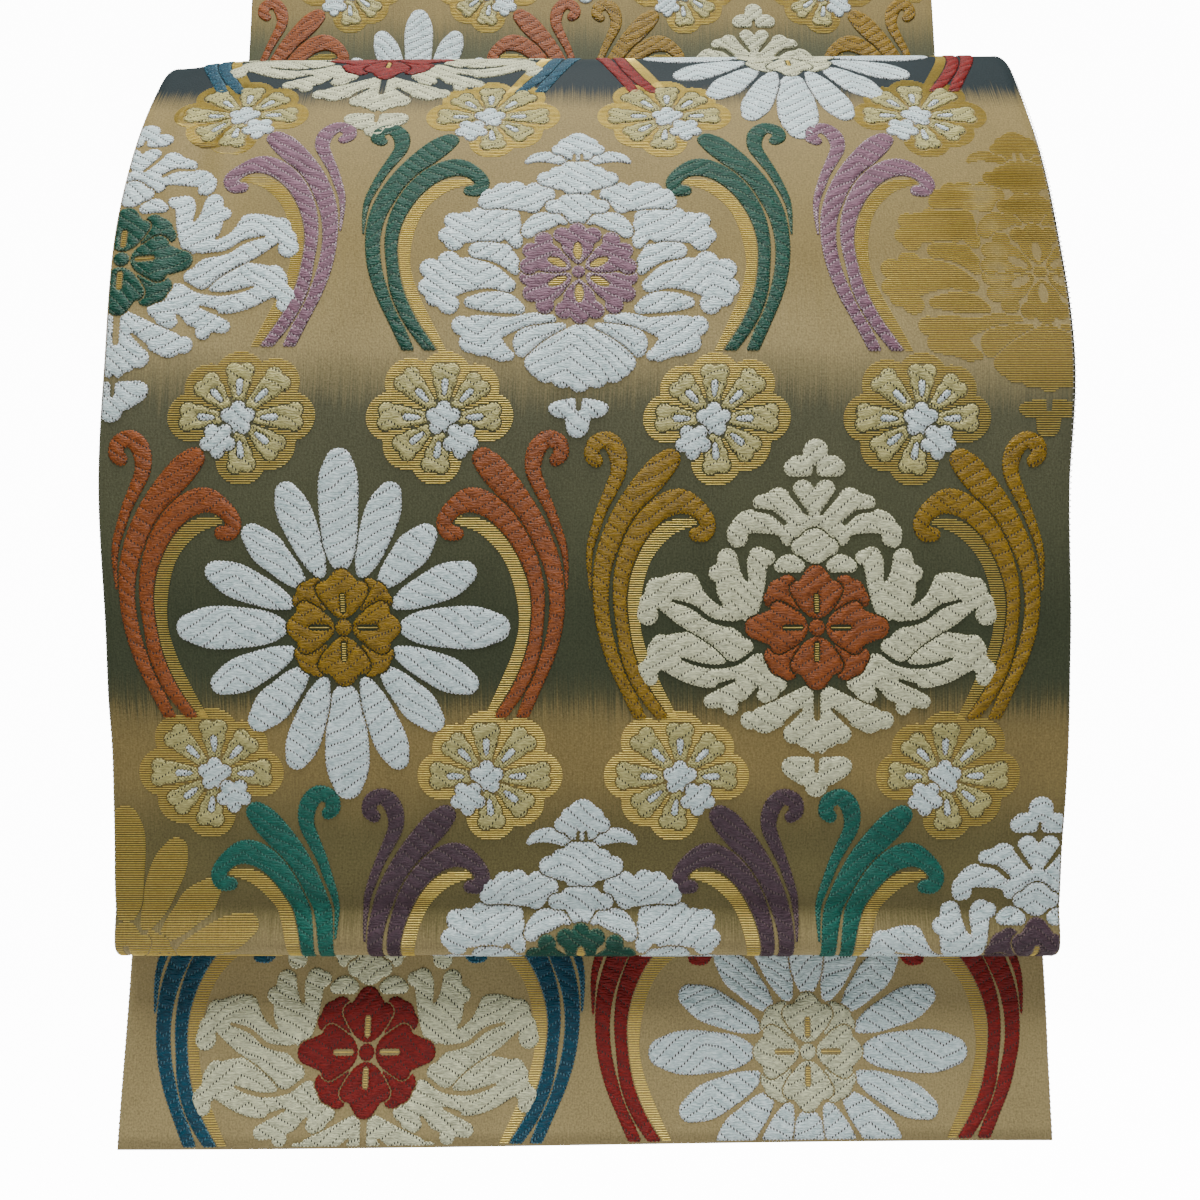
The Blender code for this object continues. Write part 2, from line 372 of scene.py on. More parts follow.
KARAHANA_SLITS = (
    ((0.0, 5.14, 0.03), (0.0, 4.76, 0.07)),
    ((0.0, -1.80, 0.16), (0.0, -2.92, 0.13)),
    ((0.0, -4.08, 0.10), (0.0, -4.66, 0.06)),
)
KARAHANA_SIDE_SLITS = (
    # between the crown's fingers
    ((-0.72, 4.28, 0.12), (-0.46, 3.92, 0.07), (-0.22, 3.62, 0.03)),
    ((-1.88, 3.76, 0.04), (-1.36, 3.66, 0.07), (-0.96, 3.34, 0.09)),
    # between the fingers of the upper side leaf
    ((-2.34, 2.44, 0.24), (-2.30, 1.90, 0.16), (-2.20, 1.52, 0.03)),
    ((-3.66, 1.60, 0.16), (-3.42, 1.10, 0.13), (-3.06, 0.74, 0.05)),
    ((-4.60, 0.86, 0.02), (-3.96, 0.66, 0.07), (-3.42, 0.26, 0.08), (-2.80, 0.09, 0.08),
     (-2.40, 0.20, 0.06)),
    # along the lower side leaf
    ((-4.34, -1.00, 0.02), (-3.90, -1.16, 0.06), (-3.30, -1.26, 0.07), (-2.60, -1.16, 0.07),
     (-2.10, -0.84, 0.06)),
    ((-3.14, -1.88, 0.12), (-2.66, -1.70, 0.03)),
    ((-2.14, -2.36, 0.16), (-1.98, -2.08, 0.08), (-1.90, -1.96, 0.02)),
    # beside the trident
    ((-0.50, -2.64, 0.03), (-0.96, -3.06, 0.11)),
)
KARAHANA_MIDDLE = (
    # finial
    ((((0.0, 5.20, 0.60), (0.0, 5.62, 0.76)), ((-0.60, 5.24, 0.44), (0.60, 5.24, 0.44))),
     (((-0.28, 5.12, 0.56), (-0.70, 5.10, 0.52)),)),
    # bud
    ((((0.0, 2.25, 0.36), (0.0, 2.60, 1.00), (0.0, 2.82, 0.60)),
      ((-0.48, 2.58, 0.52), (0.48, 2.58, 0.52))), ()),
    # crown leaf
    ((((-0.36, 4.40, 0.60), (0.0, 3.80, 0.60), (0.0, 3.50, 0.50)),
      ((0.36, 4.40, 0.60), (0.0, 3.80, 0.60))),
     (((-0.25, 3.52, 0.46), (-0.80, 3.90, 0.68), (-1.14, 4.10, 0.70)),
      ((-1.46, 4.02, 0.50), (-1.70, 3.98, 0.46)),
      ((-0.10, 3.46, 0.34), (-0.70, 3.18, 0.60), (-1.30, 3.36, 0.70), (-2.00, 3.40, 0.72),
       (-2.30, 3.28, 0.60)),
      ((-2.46, 3.04, 0.62), (-2.46, 2.86, 0.60)), ((-0.84, 2.88, 0.50),))),
    # bottom trident
    ((((0.0, -3.20, 1.10), (0.0, -3.74, 0.72)), ((-0.40, -3.62, 0.50), (0.40, -3.62, 0.50))),
     (((-0.30, -2.06, 0.36), (-0.36, -2.60, 0.60), (-0.44, -3.10, 0.84)),
      ((-0.42, -2.16, 0.44), (-1.10, -2.68, 0.76), (-1.70, -2.98, 0.84)),
      ((-0.78, -3.44, 0.60),), ((-2.18, -3.00, 0.54),))),
    # bottom finial
    ((((0.0, -4.76, 0.80), (0.0, -5.14, 0.70)),),
     (((-0.26, -4.46, 0.48), (-0.84, -4.50, 0.56), (-0.42, -4.82, 0.56)),)),
)
KARAHANA_GROWTH = 0.04
KARAHANA_SIDE = (
    # small leaf by the bud
    (((-1.14, 1.96, 0.34), (-0.84, 2.06, 0.54), (-0.56, 1.98, 0.40)),),
    # upper side leaf
    (((-2.28, 0.52, 0.76), (-2.04, 1.10, 0.66), (-1.92, 1.80, 0.66), (-1.80, 2.28, 0.58)),
     ((-1.52, 2.24, 0.44),),
     ((-2.50, 0.70, 0.90), (-2.72, 1.24, 0.90), (-2.78, 1.90, 0.70), (-2.80, 2.22, 0.60)),
     ((-3.16, 1.74, 0.50),),
     ((-2.40, 0.50, 0.60), (-3.40, 0.66, 0.66), (-4.10, 1.22, 1.00), (-5.00, 1.10, 0.92)),
     ((-4.34, 1.44, 0.58), (-4.08, 1.46, 0.56)), ((-5.10, 1.28, 0.62),),
     ((-5.42, 0.84, 0.44), (-5.42, 0.42, 0.66)),
     ((-4.80, 0.72, 0.48), (-4.20, 0.32, 0.60), (-3.50, -0.06, 0.64), (-2.86, -0.42, 0.84),
      (-2.64, -0.68, 0.80)),
     ((-2.32, -0.62, 0.52),)),
    # lower side leaf
    (((-3.10, -1.06, 0.32), (-3.70, -0.80, 0.64), (-4.30, -0.62, 0.86), (-5.00, -0.78, 0.86)),
     ((-4.16, -0.44, 0.58),), ((-5.00, -0.54, 0.60),),
     ((-5.18, -1.10, 0.58), (-5.48, -1.38, 0.54)), ((-5.36, -1.62, 0.48),),
     ((-1.90, -1.18, 0.64), (-2.60, -1.40, 0.60), (-3.40, -1.58, 0.68), (-4.10, -1.42, 0.70),
      (-4.80, -1.10, 0.60)),
     ((-1.90, -1.60, 0.78), (-2.50, -2.00, 0.72), (-3.10, -2.28, 0.54), (-3.42, -2.38, 0.42)),
     ((-2.78, -2.58, 0.46),),
     ((-1.82, -1.14, 0.56), (-1.60, -1.80, 0.80), (-1.60, -2.08, 0.70)), ((-1.24, -1.80, 0.52),)),
)

SCROLL_LEAVES = (
    # inner leaf with its curl
    (((-4.96, -3.05, 0.34), (-5.67, -2.00, 0.42), (-6.10, -1.00, 0.44), (-6.28, 0.00, 0.40),
      (-6.34, 1.00, 0.44), (-6.16, 2.00, 0.54), (-5.70, 3.00, 0.64), (-5.05, 3.74, 0.74),
      (-4.36, 4.04, 0.80), (-3.78, 3.80, 0.58), (-3.45, 3.36, 0.50), (-3.56, 3.02, 0.52),
      (-3.84, 2.98, 0.44)),),
    # broad middle leaf
    (((-5.70, -3.05, 0.38), (-6.16, -2.00, 0.42), (-6.60, -1.00, 0.44), (-6.87, 0.00, 0.47),
      (-6.95, 1.00, 0.50), (-6.83, 2.00, 0.58), (-6.46, 3.00, 0.68), (-5.85, 4.00, 0.80),
      (-5.06, 4.96, 0.90), (-4.68, 5.36, 0.70)),),
    # thin outer leaf with its curl
    (((-7.27, 1.20, 0.07), (-7.28, 2.00, 0.16), (-7.21, 2.60, 0.24), (-7.02, 3.20, 0.30),
      (-6.80, 3.80, 0.34), (-6.52, 4.40, 0.42), (-6.29, 5.00, 0.50), (-6.36, 5.60, 0.58),
      (-6.68, 5.98, 0.54), (-7.08, 5.86, 0.50), (-7.16, 5.50, 0.48), (-7.00, 5.32, 0.42)),),
)
SCROLL_FOOT = -2.95
CRESCENT = (
    ((-3.90, 3.40, 0.28), (-4.66, 3.18, 0.46), (-5.28, 2.62, 0.50), (-5.66, 1.95, 0.50),
     (-5.90, 1.00, 0.50), (-5.95, 0.00, 0.50), (-5.70, -1.00, 0.50), (-5.26, -2.00, 0.50),
     (-4.78, -3.00, 0.50)),
)

BLOSSOM_CENTRE = (-3.35, 6.63)
BLOSSOM_SECOND = (-0.60, -0.70)
BLOSSOM_PETALS = (
    # angle, reach of the petal
    (90.0, 1.80), (46.0, 2.02), (2.0, 2.08), (-38.0, 1.78), (-83.0, 1.75), (178.0, 1.85),
    (134.0, 1.77),
)
BLOSSOM_STREAK = ((0.78, 0.12), (1.00, 0.20), (1.18, 0.22))
PETAL_INNER = 0.62
PETAL_WIDTH = 0.92
SURROUND_LOBE = 1.60
SURROUND_INSET = 0.42


def polar(radius, degrees, centre=(0.0, 0.0)):
    """A point at a distance and an angle from a centre."""
    turned = math.radians(degrees)
    return centre[0] + radius * math.cos(turned), centre[1] + radius * math.sin(turned)


def ray_stroke(degrees, rows, centre=(0.0, 0.0)):
    """A straight stroke along one angle, from (radius, width) rows."""
    return tuple((*polar(radius, degrees, centre), width) for radius, width in rows)


def heart_petal(degrees, inner, outer, width, centre=(0.0, 0.0)):
    """A petal that widens outwards and ends in two lobes."""
    lobe_turn = math.degrees(0.25 * width / outer)
    lobe_reach = outer - 0.27 * width
    body = ray_stroke(degrees, ((inner, 0.40 * width), (0.5 * (inner + outer), 0.74 * width),
                                (outer - 0.64 * width, 0.80 * width)), centre)
    lobes = tuple(ray_stroke(degrees + side * lobe_turn, ((lobe_reach, 0.54 * width),), centre)
                  for side in (-1, 1))
    return (body, *lobes)


def mirrored(leaf):
    """The same leaf on the other side of x = 0."""
    return tuple(tuple((-x, y, width) for x, y, width in stroke) for stroke in leaf)


def swollen(leaf, stretch, growth):
    """A leaf drawn out across and made a little broader."""
    return tuple(tuple((stretch * x, y, width + growth) for x, y, width in stroke)
                 for stroke in leaf)


def both_sides(leaves):
    """Leaves and their mirror images."""
    return tuple(leaf for drawn in leaves for leaf in (drawn, mirrored(drawn)))


def flower_petals(middle, side, stretch, growth):
    """Rows of a flower's middle leaves and side leaves, swollen."""
    whole = tuple((*strokes, *beside, *mirrored(beside)) for strokes, beside in middle)
    return [("petal", swollen(leaf, stretch, growth)) for leaf in (*whole, *both_sides(side))]


def four_lobed_centre(reach_across, reach_up, corner, breadth):
    """Round middle, gold slits, four lobes and four corner lobes, from front to back."""
    rows = [("centre", (((0.0, 0.0, 0.52),),))]
    reaches = ((90.0, reach_up), (180.0, reach_across), (-90.0, reach_up), (0.0, reach_across))
    for degrees, _ in reaches:
        rows.append(("gold", (ray_stroke(degrees, ((0.52, 0.12), (1.02, 0.13))),)))
    for degrees, reach in reaches:
        body = ray_stroke(degrees, ((0.34, 0.10), (0.74, 0.88), (1.08, 0.80 * breadth),
                                    (reach - 0.38, 0.74)))
        shoulders = tuple(ray_stroke(degrees + side * 25.0, ((1.0, 0.50), (1.34, 0.56)))
                          for side in (-1, 1))
        rows.append(("centre", (body, *shoulders)))
    for degrees in (45.0, 135.0, 225.0, 315.0):
        bumps = tuple(ray_stroke(degrees + side * 11.0, ((1.20, 0.60), (corner - 0.40, 0.66)))
                      for side in (-1, 1))
        rows.append(("centre", (ray_stroke(degrees, ((1.20, 0.80), (corner - 0.40, 0.80))),
                                *bumps)))
    return rows


def many_petalled_centre():
    """Round middle, gold slits and six wide heart petals, from front to back."""
    rows = [("centre", (((0.0, 0.0, 0.44),),))]
    petals = ((90.0, 1.84), (-90.0, 1.84), (27.0, 2.00), (153.0, 2.00), (-27.0, 2.02),
              (207.0, 2.02))
    for degrees, _ in petals:
        rows.append(("gold", (ray_stroke(degrees, ((0.52, 0.12), (0.76, 0.24), (1.00, 0.14))),)))
    for degrees, reach in petals:
        body = ray_stroke(degrees, ((0.30, 0.10), (0.74, 0.74), (reach - 0.80, 1.12)))
        lobes = tuple(ray_stroke(degrees + turn, ((reach - 0.30 - shorter, 0.60),))
                      for turn, shorter in ((-20.0, 0.08), (0.0, 0.0), (20.0, 0.08)))
        rows.append(("centre", (body, *lobes)))
    return rows


def daisy_leaves():
    """A daisy from front to back."""
    leaves = four_lobed_centre(1.84, 1.90, 1.92, 1.50)
    for degrees, reach, width in DAISY_PETALS:
        petal = ray_stroke(degrees, ((1.92, 0.42), (2.45, 0.72 * width), (3.05, 0.90 * width),
                                     (reach - 0.88 * width, width),
                                     (reach - 0.33 * width, 0.66 * width)))
        leaves.append(("petal", (petal,)))
        if abs(degrees) != 90.0:
            leaves.append(("petal", mirrored((petal,))))
    return leaves


def slit_leaves(slits):
    """Strokes that only cut the leaves behind them."""
    return [("slit", (stroke,)) for stroke in slits]


def peony_leaves():
    """A peony from front to back."""
    return (many_petalled_centre() + slit_leaves(PEONY_SLITS)
            + flower_petals(PEONY_MIDDLE, PEONY_SIDE, PEONY_STRETCH, PEONY_GROWTH))


def karahana_leaves():
    """A leafy fancy flower from front to back."""
    slits = (*KARAHANA_SLITS, *KARAHANA_SIDE_SLITS, *mirrored(KARAHANA_SIDE_SLITS))
    return (four_lobed_centre(2.32, 2.02, 2.04, 1.60) + slit_leaves(slits)
            + flower_petals(KARAHANA_MIDDLE, KARAHANA_SIDE, 1.0, KARAHANA_GROWTH))


def side_leaves():
    """The blossom and scrolls on a flower's left, from front to back."""
    x, y = BLOSSOM_CENTRE
    second = (x + BLOSSOM_SECOND[0], y + BLOSSOM_SECOND[1])
    leaves = []
    for centre, lobe_reach, turn in ((second, 0.36, 54.0), ((x, y), 0.34, 90.0)):
        lobes = tuple(ray_stroke(turn + 72.0 * k, ((0.0, 0.44), (lobe_reach, 0.44)), centre)
                      for k in range(5))
        leaves.append(("white", lobes))
    for degrees, _ in BLOSSOM_PETALS:
        leaves.append(("streak", (ray_stroke(degrees, BLOSSOM_STREAK, (x, y)),)))
    for degrees, reach in BLOSSOM_PETALS:
        petal = heart_petal(degrees, PETAL_INNER, reach, PETAL_WIDTH, (x, y))
        leaves.append(("pale_yellow", petal))
    leaves.extend(("scroll", leaf) for leaf in SCROLL_LEAVES)
    return leaves


def side_gold():
    """Regions of gold lines on a flower's left: the cloud round the blossom and a crescent."""
    cloud = tuple(ray_stroke(degrees, ((0.0, SURROUND_LOBE),
                                       (reach - SURROUND_INSET, SURROUND_LOBE)),
                             BLOSSOM_CENTRE) for degrees, reach in BLOSSOM_PETALS)
    return cloud, CRESCENT


FLOWER_LEAVES = {
    "daisy": daisy_leaves(),
    "peony": peony_leaves(),
    "karahana": karahana_leaves(),
    "shadow daisy": daisy_leaves(),
    "shadow peony": peony_leaves(),
}
SIDE_LEAVES = side_leaves()
SIDE_GOLD = side_gold()


# ================================================================ drawing in the plane
def smooth_spine(stroke):
    """Points and half widths along a stroke, curved through its rows."""
    rows = np.array(stroke, dtype=float)
    if len(rows) > 2:
        padded = np.vstack((2.0 * rows[:1] - rows[1:2], rows, 2.0 * rows[-1:] - rows[-2:-1]))
        share = np.linspace(0.0, 1.0, SPINE_STEPS, endpoint=False)[:, None]
        spans = []
        for before, start, end, after in zip(padded, padded[1:], padded[2:], padded[3:]):
            spans.append(0.5 * (2.0 * start + (end - before) * share
                                + (2.0 * before - 5.0 * start + 4.0 * end - after) * share ** 2
                                + (3.0 * start - before - 3.0 * end + after) * share ** 3))
        rows = np.vstack((*spans, rows[-1:]))
    rows[:, 2] *= 0.5
    return rows


def stroke_field(x, y, stroke):
    """Signed distance to a stroke, negative inside."""
    rows = smooth_spine(stroke)
    if len(rows) == 1:
        return np.hypot(x - rows[0, 0], y - rows[0, 1]) - rows[0, 2]
    field = np.full(np.broadcast(x, y).shape, np.inf)
    for start, end in zip(rows, rows[1:]):
        step_x, step_y, widening = end - start
        share = ((x - start[0]) * step_x + (y - start[1]) * step_y) / (step_x ** 2 + step_y ** 2)
        share = np.clip(share, 0.0, 1.0)
        reach = np.hypot(x - start[0] - share * step_x, y - start[1] - share * step_y)
        field = np.minimum(field, reach - start[2] - share * widening)
    return field


def leaf_field(x, y, leaf):
    """Signed distance to a leaf's strokes together."""
    return np.minimum.reduce([stroke_field(x, y, stroke) for stroke in leaf])


def leaf_box(leaf):
    """Low x, low y, high x and high y of a leaf."""
    rows = np.array([row for stroke in leaf for row in stroke])
    reach = 0.5 * rows[:, 2] + LEAF_MARGIN
    return ((rows[:, 0] - reach).min(), (rows[:, 1] - reach).min(),
            (rows[:, 0] + reach).max(), (rows[:, 1] + reach).max())


def boxes_meet(first, second):
    """Whether two boxes overlap."""
    return (first[0] < second[2] and second[0] < first[2]
            and first[1] < second[3] and second[1] < first[3])


def leaf_grid(box, limits):
    """Sample places over the part of a leaf's box that the limits leave, or None."""
    low_x, low_y = max(box[0], limits[0]), max(box[1], limits[1])
    high_x, high_y = min(box[2], limits[2]), min(box[3], limits[3])
    if high_x - low_x < FIELD_STEP or high_y - low_y < FIELD_STEP:
        return None
    x = np.arange(low_x - FIELD_MARGIN, high_x + FIELD_MARGIN, FIELD_STEP)[None, :]
    y = np.arange(low_y - FIELD_MARGIN, high_y + FIELD_MARGIN, FIELD_STEP)[:, None]
    return x, y


def cut_field(x, y, leaf, fronts, limits):
    """A leaf's distance, less the (leaf, moat) rows in front, within limits."""
    field = leaf_field(x, y, leaf)
    for front, moat in fronts:
        field = np.maximum(field, moat - leaf_field(x, y, front))
    for edge in (limits[0] - x, limits[1] - y, x - limits[2], y - limits[3]):
        field = np.maximum(field, edge)
    return field


# Crossings of a sample square, by which of its corners lie inside: 1 is low left, 2 low right,
# 4 high right and 8 high left. Each one runs with the inside on its left.
CROSSINGS = {
    1: (("bottom", "left"),), 2: (("right", "bottom"),), 3: (("right", "left"),),
    4: (("top", "right"),), 5: (("bottom", "left"), ("top", "right")), 6: (("top", "bottom"),),
    7: (("top", "left"),), 8: (("left", "top"),), 9: (("bottom", "top"),),
    10: (("right", "bottom"), ("left", "top")), 11: (("right", "top"),),
    12: (("left", "right"),), 13: (("bottom", "right"),), 14: (("left", "bottom"),),
}
SQUARE_EDGES = {"bottom": (0, 0, 0), "right": (0, 1, 1), "top": (1, 0, 0), "left": (0, 0, 1)}


def outline_loops(x, y, field):
    """Closed loops where a field crosses zero."""
    inside = (field < 0.0).astype(int)
    corners = inside[:-1, :-1] + 2 * inside[:-1, 1:] + 4 * inside[1:, 1:] + 8 * inside[1:, :-1]
    following = {}
    for row, column in zip(*np.nonzero((corners > 0) & (corners < 15))):
        for start, end in CROSSINGS[corners[row, column]]:
            down, over, upright = SQUARE_EDGES[start]
            to_down, to_over, to_upright = SQUARE_EDGES[end]
            following[(row + down, column + over, upright)] = (
                row + to_down, column + to_over, to_upright)
    loops = []
    while following:
        key, place = following.popitem()
        keys = [key]
        while place != key:
            keys.append(place)
            place = following.pop(place)
        rows, columns, uprights = np.array(keys).T
        here = field[rows, columns]
        there = field[rows + uprights, columns + 1 - uprights]
        share = here / (here - there)
        loops.append(np.column_stack((
            x[0, columns] + share * (1 - uprights) * FIELD_STEP,
            y[rows, 0] + share * uprights * FIELD_STEP)))
    return loops


def even_loop(loop, spacing, step=0.0):
    """A loop with its points evenly spaced, in and out by a step, or None if it is short."""
    closed = np.vstack((loop, loop[:1]))
    steps = np.hypot(*np.diff(closed, axis=0).T)
    length = steps.sum()
    if length < SHORTEST_LOOP:
        return None
    along = np.concatenate(([0.0], np.cumsum(steps)))
    count = 2 * max(3, round(0.5 * length / spacing))
    places = np.linspace(0.0, length, count, endpoint=False)
    points = np.column_stack([np.interp(places, along, closed[:, axis]) for axis in (0, 1)])
    if step:
        way = np.roll(points, -1, axis=0) - np.roll(points, 1, axis=0)
        way /= np.maximum(np.hypot(*way.T), 1e-6)[:, None]
        sides = np.where(np.arange(count) % 2, step, -step)[:, None]
        points += sides * np.column_stack((way[:, 1], -way[:, 0]))
    return points


def is_counterclockwise(loop):
    """Whether a loop turns to the left."""
    x, y = loop.T
    return np.dot(x, np.roll(y, -1)) > np.dot(y, np.roll(x, -1))


def fill_loops(loops, extra):
    """Triangles inside the loops, holes left out. Returns points and triangles."""
    points = [Vector(point) for loop in loops for point in loop]
    faces = []
    start = 0
    for loop in loops:
        indices = list(range(start, start + len(loop)))
        faces.append(indices if is_counterclockwise(loop) else indices[::-1])
        start += len(loop)
    points.extend(Vector(point) for point in extra)
    filled, _, triangles, _, _, sources = delaunay_2d_cdt(points, [], faces, 0, FILL_TOLERANCE,
                                                          True)
    inside = [triangle for triangle, source in zip(triangles, sources) if len(source) % 2]
    return np.array(filled).reshape(-1, 2), np.array(inside, dtype=int).reshape(-1, 3)


def open_edges(triangles):
    """Directed edges that only one triangle uses."""
    edges = np.vstack((triangles[:, :2], triangles[:, 1:], triangles[:, ::2][:, ::-1]))
    keys = np.sort(edges, axis=1)
    _, first, counts = np.unique(keys, axis=0, return_index=True, return_counts=True)
    return edges[first[counts == 1]]


def float_patch(leaf, fronts, limits, spacing):
    """One raised silk patch: points, how full each is (0 at the rim to 1), and triangles.

    A fullness below 0 marks the underside.
    """
    grid = leaf_grid(leaf_box(leaf), limits)
    if grid is None:
        return None
    x, y = grid
    field = cut_field(x, y, leaf, fronts, limits)
    step = WOVEN_STEP if spacing <= WOVEN_SPACING else 0.0
    loops = [even_loop(loop, spacing, step) for loop in outline_loops(x, y, field)]
    loops = [loop for loop in loops if loop is not None]
    if not loops:
        return None
    ring_spacing = max(RING_SHARE * spacing, SHORTEST_RING_STEP)
    rings = [even_loop(loop, ring_spacing) for loop in outline_loops(x, y, field + RIM_WIDTH)]
    rings = [ring for ring in rings if ring is not None]
    stride = max(SHORTEST_STRIDE, round(MIDDLE_SHARE * spacing / FIELD_STEP))
    middles = []
    for line, row in enumerate(range(0, field.shape[0], stride)):
        columns = np.arange((line % 2) * stride // 2, field.shape[1], stride)
        columns = columns[field[row, columns] < -RIM_WIDTH - 0.5 * spacing]
        middles.append(np.column_stack((x[0, columns], np.full(len(columns), y[row, 0]))))
    extra = np.vstack((*rings, *middles)) if rings else np.zeros((0, 2))
    points, top = fill_loops(loops, extra)
    if not len(top):
        return None
    rim = open_edges(top)
    fullness = np.ones(len(points))
    fullness[np.unique(rim)] = 0.0
    rim_count = sum(len(loop) for loop in loops)
    under_points, under = fill_loops(loops, ())
    if len(points) != rim_count + len(extra) or len(under_points) != rim_count:
        under_points, under = points, top
    start = len(points)
    walls = np.vstack((np.column_stack((rim[:, 0] + start, rim[:, 1] + start, rim[:, 1])),
                       np.column_stack((rim[:, 0] + start, rim[:, 1], rim[:, 0]))))
    return (np.vstack((points, under_points)),
            np.concatenate((fullness, np.full(len(under_points), -1.0))),
            np.vstack((top, walls, under[:, ::-1] + start)))


def leaf_patches(leaves, limits, spacing):
    """Patches of all silk leaves, each cut by those in front, as (role, patch) rows."""
    boxes = [leaf_box(leaf) for _, leaf in leaves]
    patches = []
    for index, (role, leaf) in enumerate(leaves):
        if role in ("gold", "slit") or not boxes_meet(boxes[index], limits):
            continue
        fronts = [(leaves[other][1], MOATS.get(leaves[other][0], MOAT)) for other in range(index)
                  if boxes_meet(boxes[index], boxes[other])]
        patch = float_patch(leaf, fronts, limits, spacing)
        if patch is not None:
            patches.append((role, patch))
    return patches


def gold_lines(leaves, fronts, limits, pitch):
    """Lines of gold weft inside leaves and clear of the leaves in front: (x, x, y) rows."""
    lines = []
    for index, leaf in enumerate(leaves):
        box = leaf_box(leaf)
        grid = leaf_grid(box, limits)
        if grid is None:
            continue
        x = grid[0]
        low = math.ceil(max(box[1], limits[1]) / pitch)
        high = math.floor(min(box[3], limits[3]) / pitch)
        y = pitch * np.arange(low, high + 1)[:, None]
        nearer = [(front, MOAT) for front in (*fronts, *leaves[:index])
                  if boxes_meet(box, leaf_box(front))]
        field = cut_field(x, y, leaf, nearer, limits)
        for row, values in enumerate(field):
            changes = np.nonzero((values[:-1] < 0.0) != (values[1:] < 0.0))[0]
            share = values[changes] / (values[changes] - values[changes + 1])
            places = x[0, changes] + share * FIELD_STEP
            for start, end in zip(places[::2], places[1::2]):
                lines.append((start, end, y[row, 0]))
    return lines


# ================================================================ laying on the cloth
def ease(amount):
    """Ease from 0 to 1."""
    amount = np.clip(amount, 0.0, 1.0)
    return amount * amount * (3.0 - 2.0 * amount)


def route_path(longest_step, widest_turn):
    """Stations along the route, from the tail's end: distance, y, z and heading (radians)."""
    y = -BAR_RADIUS
    z = CLOTH_WALL - BAR_RADIUS - BACK_HEIGHT + INNER_HEIGHT
    heading = 90.0
    left = ROUTE_LENGTH
    rows = [(left, y, z, heading)]
    for _, length, turn in ROUTE:
        steps = max(1, math.ceil(length / longest_step), math.ceil(abs(turn) / widest_turn))
        half_turn = math.radians(0.5 * turn / steps)
        chord = length / steps * (math.sin(half_turn) / half_turn if turn else 1.0)
        for _ in range(steps):
            chord_heading = math.radians(heading) + half_turn
            y -= chord * math.cos(chord_heading)
            z -= chord * math.sin(chord_heading)
            heading += turn / steps
            left -= length / steps
            rows.append((left, y, z, heading))
    rows = np.array(rows[::-1])
    rows[:, 3] = np.radians(rows[:, 3])
    return rows.T


PATH = route_path(*PATH_ROWS)


def relief(across, from_tail):
    """Rise of the creases at places on the cloth, in metres."""
    down = TAIL_DOWN - CM_PER_METRE * from_tail
    rise = np.zeros(np.broadcast(across, from_tail).shape)
    for _, crease_across, crease_down, length, width, turn, height in CREASES:
        cos, sin = math.cos(math.radians(turn)), math.sin(math.radians(turn))
        over = CM_PER_METRE * across - crease_across
        below = down - crease_down
        along = over * sin + below * cos
        aside = over * cos - below * sin
        fade = ease(2.0 - 4.0 * np.abs(along) / length)
        rise += MM * height * fade * np.exp(-(aside / width) ** 2)
    return rise


def hang(across, from_tail):
    """How far the cloth hangs below its route."""
    left_share = 0.5 - across / CLOTH_WIDTH
    crown = 1.0 - ease(np.abs(from_tail - CROWN_FROM_TAIL) / CROWN_TILT_REACH)
    tail = 1.0 - ease(from_tail / TAIL_SLANT_REACH)
    corner = ease((-0.5 * CLOTH_WIDTH + CORNER_REACH - across) / CORNER_REACH)
    corner *= 1.0 - ease(np.abs(from_tail - CORNER_FROM_TAIL) / CORNER_LENGTH)
    return CROWN_TILT * left_share * crown + TAIL_SLANT * ease(left_share) * tail + (
        CORNER_DROOP * corner)


def sway(from_tail):
    """Sideways shift of the cloth."""
    places, shifts = np.array(SWAY).T
    index = np.clip(np.searchsorted(places, from_tail) - 1, 0, len(places) - 2)
    share = ease((from_tail - places[index]) / (places[index + 1] - places[index]))
    return shifts[index] + (shifts[index + 1] - shifts[index]) * share


def cloth_points(across, from_tail, rise):
    """Places on the cloth, in metres: across it, from the tail's end, and above its face."""
    distances, ys, zs, headings = PATH
    y = np.interp(from_tail, distances, ys)
    z = np.interp(from_tail, distances, zs)
    heading = np.interp(from_tail, distances, headings)
    lift = rise + relief(across, from_tail) * np.clip(1.0 + rise / FACE_WALL, 0.0, 1.0)
    return np.column_stack((across + sway(from_tail), y - lift * np.sin(heading),
                            z + lift * np.cos(heading) - hang(across, from_tail)))


def pattern_points(over, down, rise):
    """Places on the cloth from the pattern's plane, in cm, and a rise in metres."""
    return cloth_points(CM * over, CM * (TAIL_DOWN - down), rise)


def detail_at(down):
    """Spacing of outline points for a flower at one place."""
    for reach, spacing in DETAIL:
        if down <= reach:
            return spacing
    return DETAIL[-1][1]


def placed_flowers():
    """Every flower on the cloth: across, down and then what its row in the table says."""
    for row_down, flowers in FLOWER_ROWS:
        for repeat in range(-3, 1):
            for across, below, *rest in flowers:
                down = row_down + below + repeat * ROW_REPEAT
                yield (across, down + (LOOSE_SHIFT if down < LOOSE_FROM else 0.0), *rest)


def limits_of(across, down, stretch):
    """Limits of the pattern round a flower, in its own plane, or None if it lies outside."""
    limits = (max(FLOWER_REACH[0], -PATTERN_HALF_WIDTH - across),
              max(FLOWER_REACH[1], down - stretch[1]),
              min(FLOWER_REACH[2], PATTERN_HALF_WIDTH - across),
              min(FLOWER_REACH[3], down - stretch[0]))
    if limits[0] >= limits[2] or limits[1] >= limits[3]:
        return None
    return tuple(round(limit, 4) for limit in limits)


